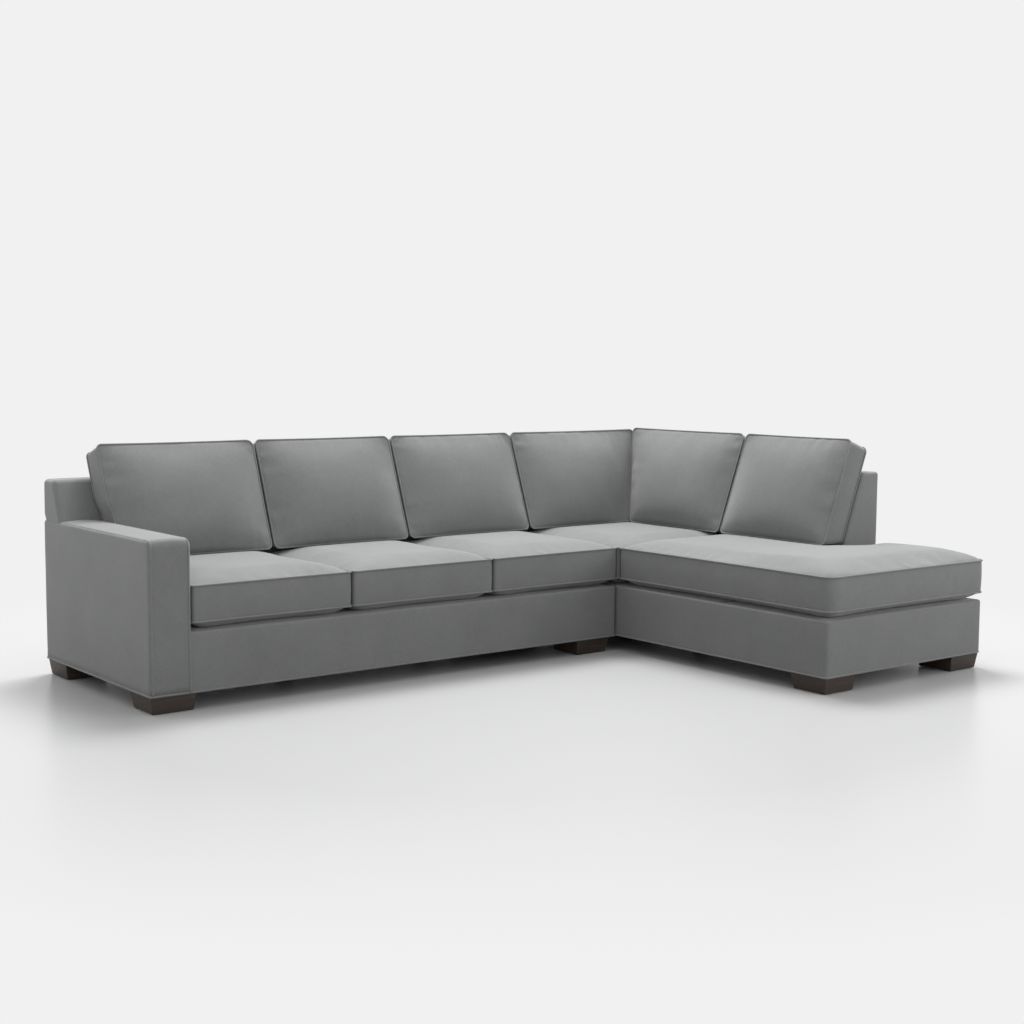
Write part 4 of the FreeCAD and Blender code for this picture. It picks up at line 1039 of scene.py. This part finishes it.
RIM = DECK_TOP + 0.0004
THICK = 0.009
BORDER_SECTION = rounded(
    [(0.0, FOOT_TOP, 0.002), (0.0, RIM, 0.0085), (THICK, RIM, 0.0), (THICK, FOOT_TOP, 0.0)]
)
border = sweep(
    "sofa_border_padding", [(ARM_INNER_X - 0.016, FRONT_Y), (JOINT_X, FRONT_Y), (JOINT_X, BACK_FACE_Y)],
    [0.012], BORDER_SECTION, "sofa_section", "sofa_border", edge=0.002,
)
soften(border, wide=0.0006, close=0.0002, seed=12.0)
BUMPER_FRONT = [(BUMPER_X, BACK_FACE_Y), (BUMPER_X, BUMPER_FRONT_Y), (RIGHT_X, BUMPER_FRONT_Y)]
bumper_border = sweep(
    "bumper_border_padding", [*BUMPER_FRONT, (RIGHT_X, END_BACK_Y + 0.016)], [0.016, 0.016],
    BORDER_SECTION, "bumper_section", "bumper_border", edge=0.002,
)
soften(bumper_border, wide=0.0006, close=0.0002, seed=16.0)

ARM_LINE = [
    (REAR_Y - 0.004, ARM_TOP - 0.020),
    (REAR_Y - 0.012, ARM_TOP - 0.006),
    (REAR_Y - 0.026, ARM_TOP - 0.0015),
    (FRONT_Y + 0.030, ARM_TOP - 0.0015),
    (FRONT_Y + 0.0090, ARM_TOP - 0.0085),
    (FRONT_Y + 0.0010, ARM_TOP - 0.030),
    (FRONT_Y + 0.0010, FOOT_TOP + 0.004),
]
for label, x in (("outer", LEFT_X + 0.0105), ("inner", ARM_INNER_X - 0.0105)):
    flat = filled([Vector(p) for p in ARM_LINE], 0.04)
    line = smooth_loop([(x, p.x, p.y) for p in flat], False, 0.012)
    welt(f"arm_welt_{label}", line, "sofa_section", radius=EDGE_WELT)


def hem(name, path, radii, body):
    """The welt along a bottom edge."""
    line = [Vector((p.x, p.y, FOOT_TOP + 0.0035)) for p in followed(path, radii, 0.0013)]
    welt(name, line, body, radius=EDGE_WELT)


hem(
    "sofa_hem", [(JOINT_X, REAR_Y), (LEFT_X, REAR_Y), (LEFT_X, FRONT_Y), (JOINT_X, FRONT_Y)], [0.012, 0.008],
    "sofa_section",
)
hem(
    "bumper_hem", [*BUMPER_FRONT, (RIGHT_X, REAR_Y), (BUMPER_X, REAR_Y)], [0.016, 0.016, 0.018],
    "bumper_section",
)

DECK_CELL = 0.022
DECK_ROLL = 0.008
DECK_LEVEL = DECK_TOP - 0.0004
DECK_RIM_LOW = 0.2634
DECK_UNDER = 0.2750
SPRING_PITCH = 0.158


def edge_lines(low, high):
    """Even grid lines with a few more where an edge rolls over."""
    near = [0.0, DECK_ROLL * 0.2, DECK_ROLL * 0.55, DECK_ROLL]
    free = high - low - 2 * DECK_ROLL
    parts = max(2, round(free / DECK_CELL))
    middle = [low + DECK_ROLL + free * part / parts for part in range(1, parts)]
    return [low + step for step in near] + middle + [high - step for step in near[::-1]]


def deck(name, areas, body, replaced, seam_y):
    """A padded deck over the springs: cloth behind a seam, upholstery in front of it, edges rolled down."""
    vertices = []
    faces = []
    kinds = []
    for low, high in areas:
        xs = edge_lines(low[0], high[0])
        ys = edge_lines(low[1], high[1])
        grid = [(x, y, min(x - low[0], high[0] - x, y - low[1], high[1] - y)) for x in xs for y in ys]
        upper = len(vertices)
        for x, y, edge in grid:
            drop = 0.007 * (1 - math.sin(math.pi / 2 * min(edge / DECK_ROLL, 1)))
            spring = 0.0007 * math.cos(math.tau * (x - low[0]) / SPRING_PITCH) * min(edge / 0.1, 1)
            sag = 0.0030 * min(edge / 0.22, 1) ** 2
            seam = 0.0016 * math.exp(-((y - seam_y) / 0.006) ** 2)
            uneven = 0.0009 * noise.noise(Vector((x * 5.0, y * 5.0, 3.0)))
            vertices.append((x, y, DECK_LEVEL - drop + min(0.0, spring + uneven - sag - seam)))
        lower = len(vertices)
        vertices += [(x, y, DECK_RIM_LOW if edge < 0.0079 else DECK_UNDER) for x, y, edge in grid]
        rows = len(ys)
        spot = lambda i, j, level: level + i * rows + j
        for i in range(len(xs) - 1):
            for j in range(rows - 1):
                ring = ((i, j), (i + 1, j), (i + 1, j + 1), (i, j + 1))
                faces.append([spot(a, b, upper) for a, b in ring])
                faces.append([spot(a, b, lower) for a, b in ring][::-1])
                kinds += [0 if ys[j] < seam_y else 1, 1]
        rim = [(i, 0) for i in range(len(xs))] + [(len(xs) - 1, j) for j in range(1, rows)]
        rim += [(i, rows - 1) for i in range(len(xs) - 2, -1, -1)] + [(0, j) for j in range(rows - 2, 0, -1)]
        for here, there in around(rim):
            faces.append([spot(*here, lower), spot(*there, lower), spot(*there, upper), spot(*here, upper)])
            kinds.append(0)
    piece = object_from(name, vertices, faces, UPHOLSTERY)
    piece.data.materials.append(DECKING)
    piece.data.polygons.foreach_set("material_index", kinds)
    settle(piece, body, "deck_cloth", replaced)
    left, right = areas[0][0][0], areas[0][1][0]
    count = round((right - left) / RUN)
    run = [left + 0.01 + (right - left - 0.02) * k / count for k in range(count + 1)]
    depth = DECK_LEVEL - 0.0026
    line = [Vector((x, seam_y - 0.005, depth + 0.0006 * noise.noise(Vector((x * 9, 1, 1))))) for x in run]
    welt(name + "_stitch", line, body, radius=0.0011, sides=6)
    return piece


long_deck = deck(
    "sofa_deck_padding", [((-1.429, 0.1215), (0.599, 0.8695))], "sofa_section", "sofa_deck", 0.235
)
short_deck = deck(
    "bumper_deck_padding", [((0.629, -1.0685), (1.576, SPLIT_Y)), ((0.629, SPLIT_Y), (END_RAIL_X, 0.8695))],
    "bumper_section", "bumper_deck", -0.955,
)


# Feet.

FOOT_HALF_TOP = 0.089
FOOT_HALF_LOW = 0.080
GLIDE_TALL = 0.0022


def block_feet(name, xs, ys, body, replaced):
    """Tapered blocks with eased edges, each on four thin glides."""
    bm = bmesh.new()
    spots = [(x, y) for y in ys for x in xs]
    for x, y in spots:
        for vertex in bmesh.ops.create_cube(bm, size=1.0)["verts"]:
            half, level = (FOOT_HALF_TOP, FOOT_TOP) if vertex.co.z > 0 else (FOOT_HALF_LOW, 0.0018)
            vertex.co = Vector((x + half * (2 * vertex.co.x), y + half * (2 * vertex.co.y), level))
    bevel = {"offset": 0.0032, "segments": 4, "profile": 0.6, "affect": "EDGES", "clamp_overlap": True}
    bmesh.ops.bevel(bm, geom=list(bm.edges), **bevel)
    glide = {"cap_ends": True, "segments": 20, "radius1": 0.010, "radius2": 0.0115, "depth": GLIDE_TALL}
    for x, y in spots:
        for dx in (-0.05, 0.05):
            for dy in (-0.05, 0.05):
                place = Matrix.Translation((x + dx, y + dy, GLIDE_TALL / 2))
                bmesh.ops.create_cone(bm, matrix=place, **glide)
    mesh = bpy.data.meshes.new(name)
    bm.to_mesh(mesh)
    bm.free()
    smoothed(mesh)
    mesh.materials.append(ESPRESSO)
    mesh.set_sharp_from_angle(angle=math.radians(40))
    settle(linked(name, mesh), body, "foot_wood", replaced)


block_feet("sofa_block_feet", (-1.490, 0.484), (0.2075, 0.9825), "sofa_section", "sofa_feet")
block_feet("bumper_block_feet", (0.715, 1.490), (-0.9825, 0.9825), "bumper_section", "bumper_feet")


# Stage, light and camera.

def stage_floor():
    """A pale floor that fades into the background, darker in the light that it gives back."""
    mesh = bpy.data.meshes.new("studio_floor")
    half = 40.0
    corners = [(-half, -half, 0), (half, -half, 0), (half, half, 0), (-half, half, 0)]
    mesh.from_pydata(corners, [], [(0, 1, 2, 3)])
    n = Paint("studio_floor_paint")
    reach = n.add("ShaderNodeVectorMath", operation="LENGTH")
    n.feed(reach.inputs[0], n.place)
    far = n.add("ShaderNodeMapRange")
    n.feed(far.inputs["Value"], reach.outputs["Value"])
    far.inputs["From Min"].default_value = 1.9
    far.inputs["From Max"].default_value = 3.2
    tone = n.add("ShaderNodeMix", data_type="RGBA")
    n.feed(tone.inputs["Factor"], n.add("ShaderNodeLightPath").outputs["Is Camera Ray"])
    n.feed(tone.inputs[6], (0.205, 0.205, 0.205, 1))
    n.feed(tone.inputs[7], (0.455, 0.456, 0.457, 1))
    n.finish(tone.outputs[2], 0.30, specular_ior_level=0.35)
    glow = n.fed("ShaderNodeEmission", (0.88, 0.88, 0.88, 1))
    blend = n.fed("ShaderNodeMixShader", far.outputs[0], n.shader.outputs[0], glow)
    n.feed(n.output.inputs["Surface"], blend)
    mesh.materials.append(n.material)
    linked("studio_floor", mesh)


def world_light(seen, cast):
    """An even dome: one tone to the camera and in mirrors, another in the light that it casts."""
    world = bpy.data.worlds.new("studio_air")
    n = Nodes(world)
    path = n.add("ShaderNodeLightPath").outputs
    mirrored = n.math("MAXIMUM", path["Is Camera Ray"], path["Is Glossy Ray"])
    direct = n.math("MAXIMUM", mirrored, path["Is Transmission Ray"])
    air, wall = [n.fed("ShaderNodeBackground", (tone, tone, tone, 1)) for tone in (cast, seen)]
    output = n.add("ShaderNodeOutputWorld")
    n.feed(output.inputs["Surface"], n.fed("ShaderNodeMixShader", direct, air, wall))
    bpy.context.scene.world = world


def lamp(name, place, aim, size, power):
    """A rectangular softbox."""
    data = bpy.data.lights.new(name, "AREA")
    data.shape = "RECTANGLE"
    data.size, data.size_y = size
    data.energy = power
    item = linked(name, data)
    item.location = place
    item.rotation_euler = (Vector(aim) - Vector(place)).to_track_quat("-Z", "Y").to_euler()


stage_floor()
world_light(0.880, 1.03)
lamp("ceiling_softbox", (1.7, 2.5, 6.8), (0.3, 0.3, 0.0), (3.6, 3.0), 680.0)
lamp("front_softbox", (3.4, -5.6, 2.2), (1.1, -1.0, 0.3), (2.6, 1.8), 68.0)

camera_data = bpy.data.cameras.new("camera")
camera_data.lens = 55.08
camera_data.sensor_width = 36.0
camera_data.shift_y = 0.0093
camera = linked("camera", camera_data)
azimuth, pitch, roll = math.radians(37.88), math.radians(5.753), math.radians(0.342)
ahead = Vector((math.sin(azimuth) * math.cos(pitch), math.cos(azimuth) * math.cos(pitch), -math.sin(pitch)))
camera.rotation_mode = "QUATERNION"
camera.rotation_quaternion = ahead.to_track_quat("-Z", "Y") @ Matrix.Rotation(roll, 3, "Z").to_quaternion()
camera.location = (-3.9247, -4.9715, 1.2527)
bpy.context.scene.camera = camera
bpy.context.scene.view_settings.view_transform = "Standard"
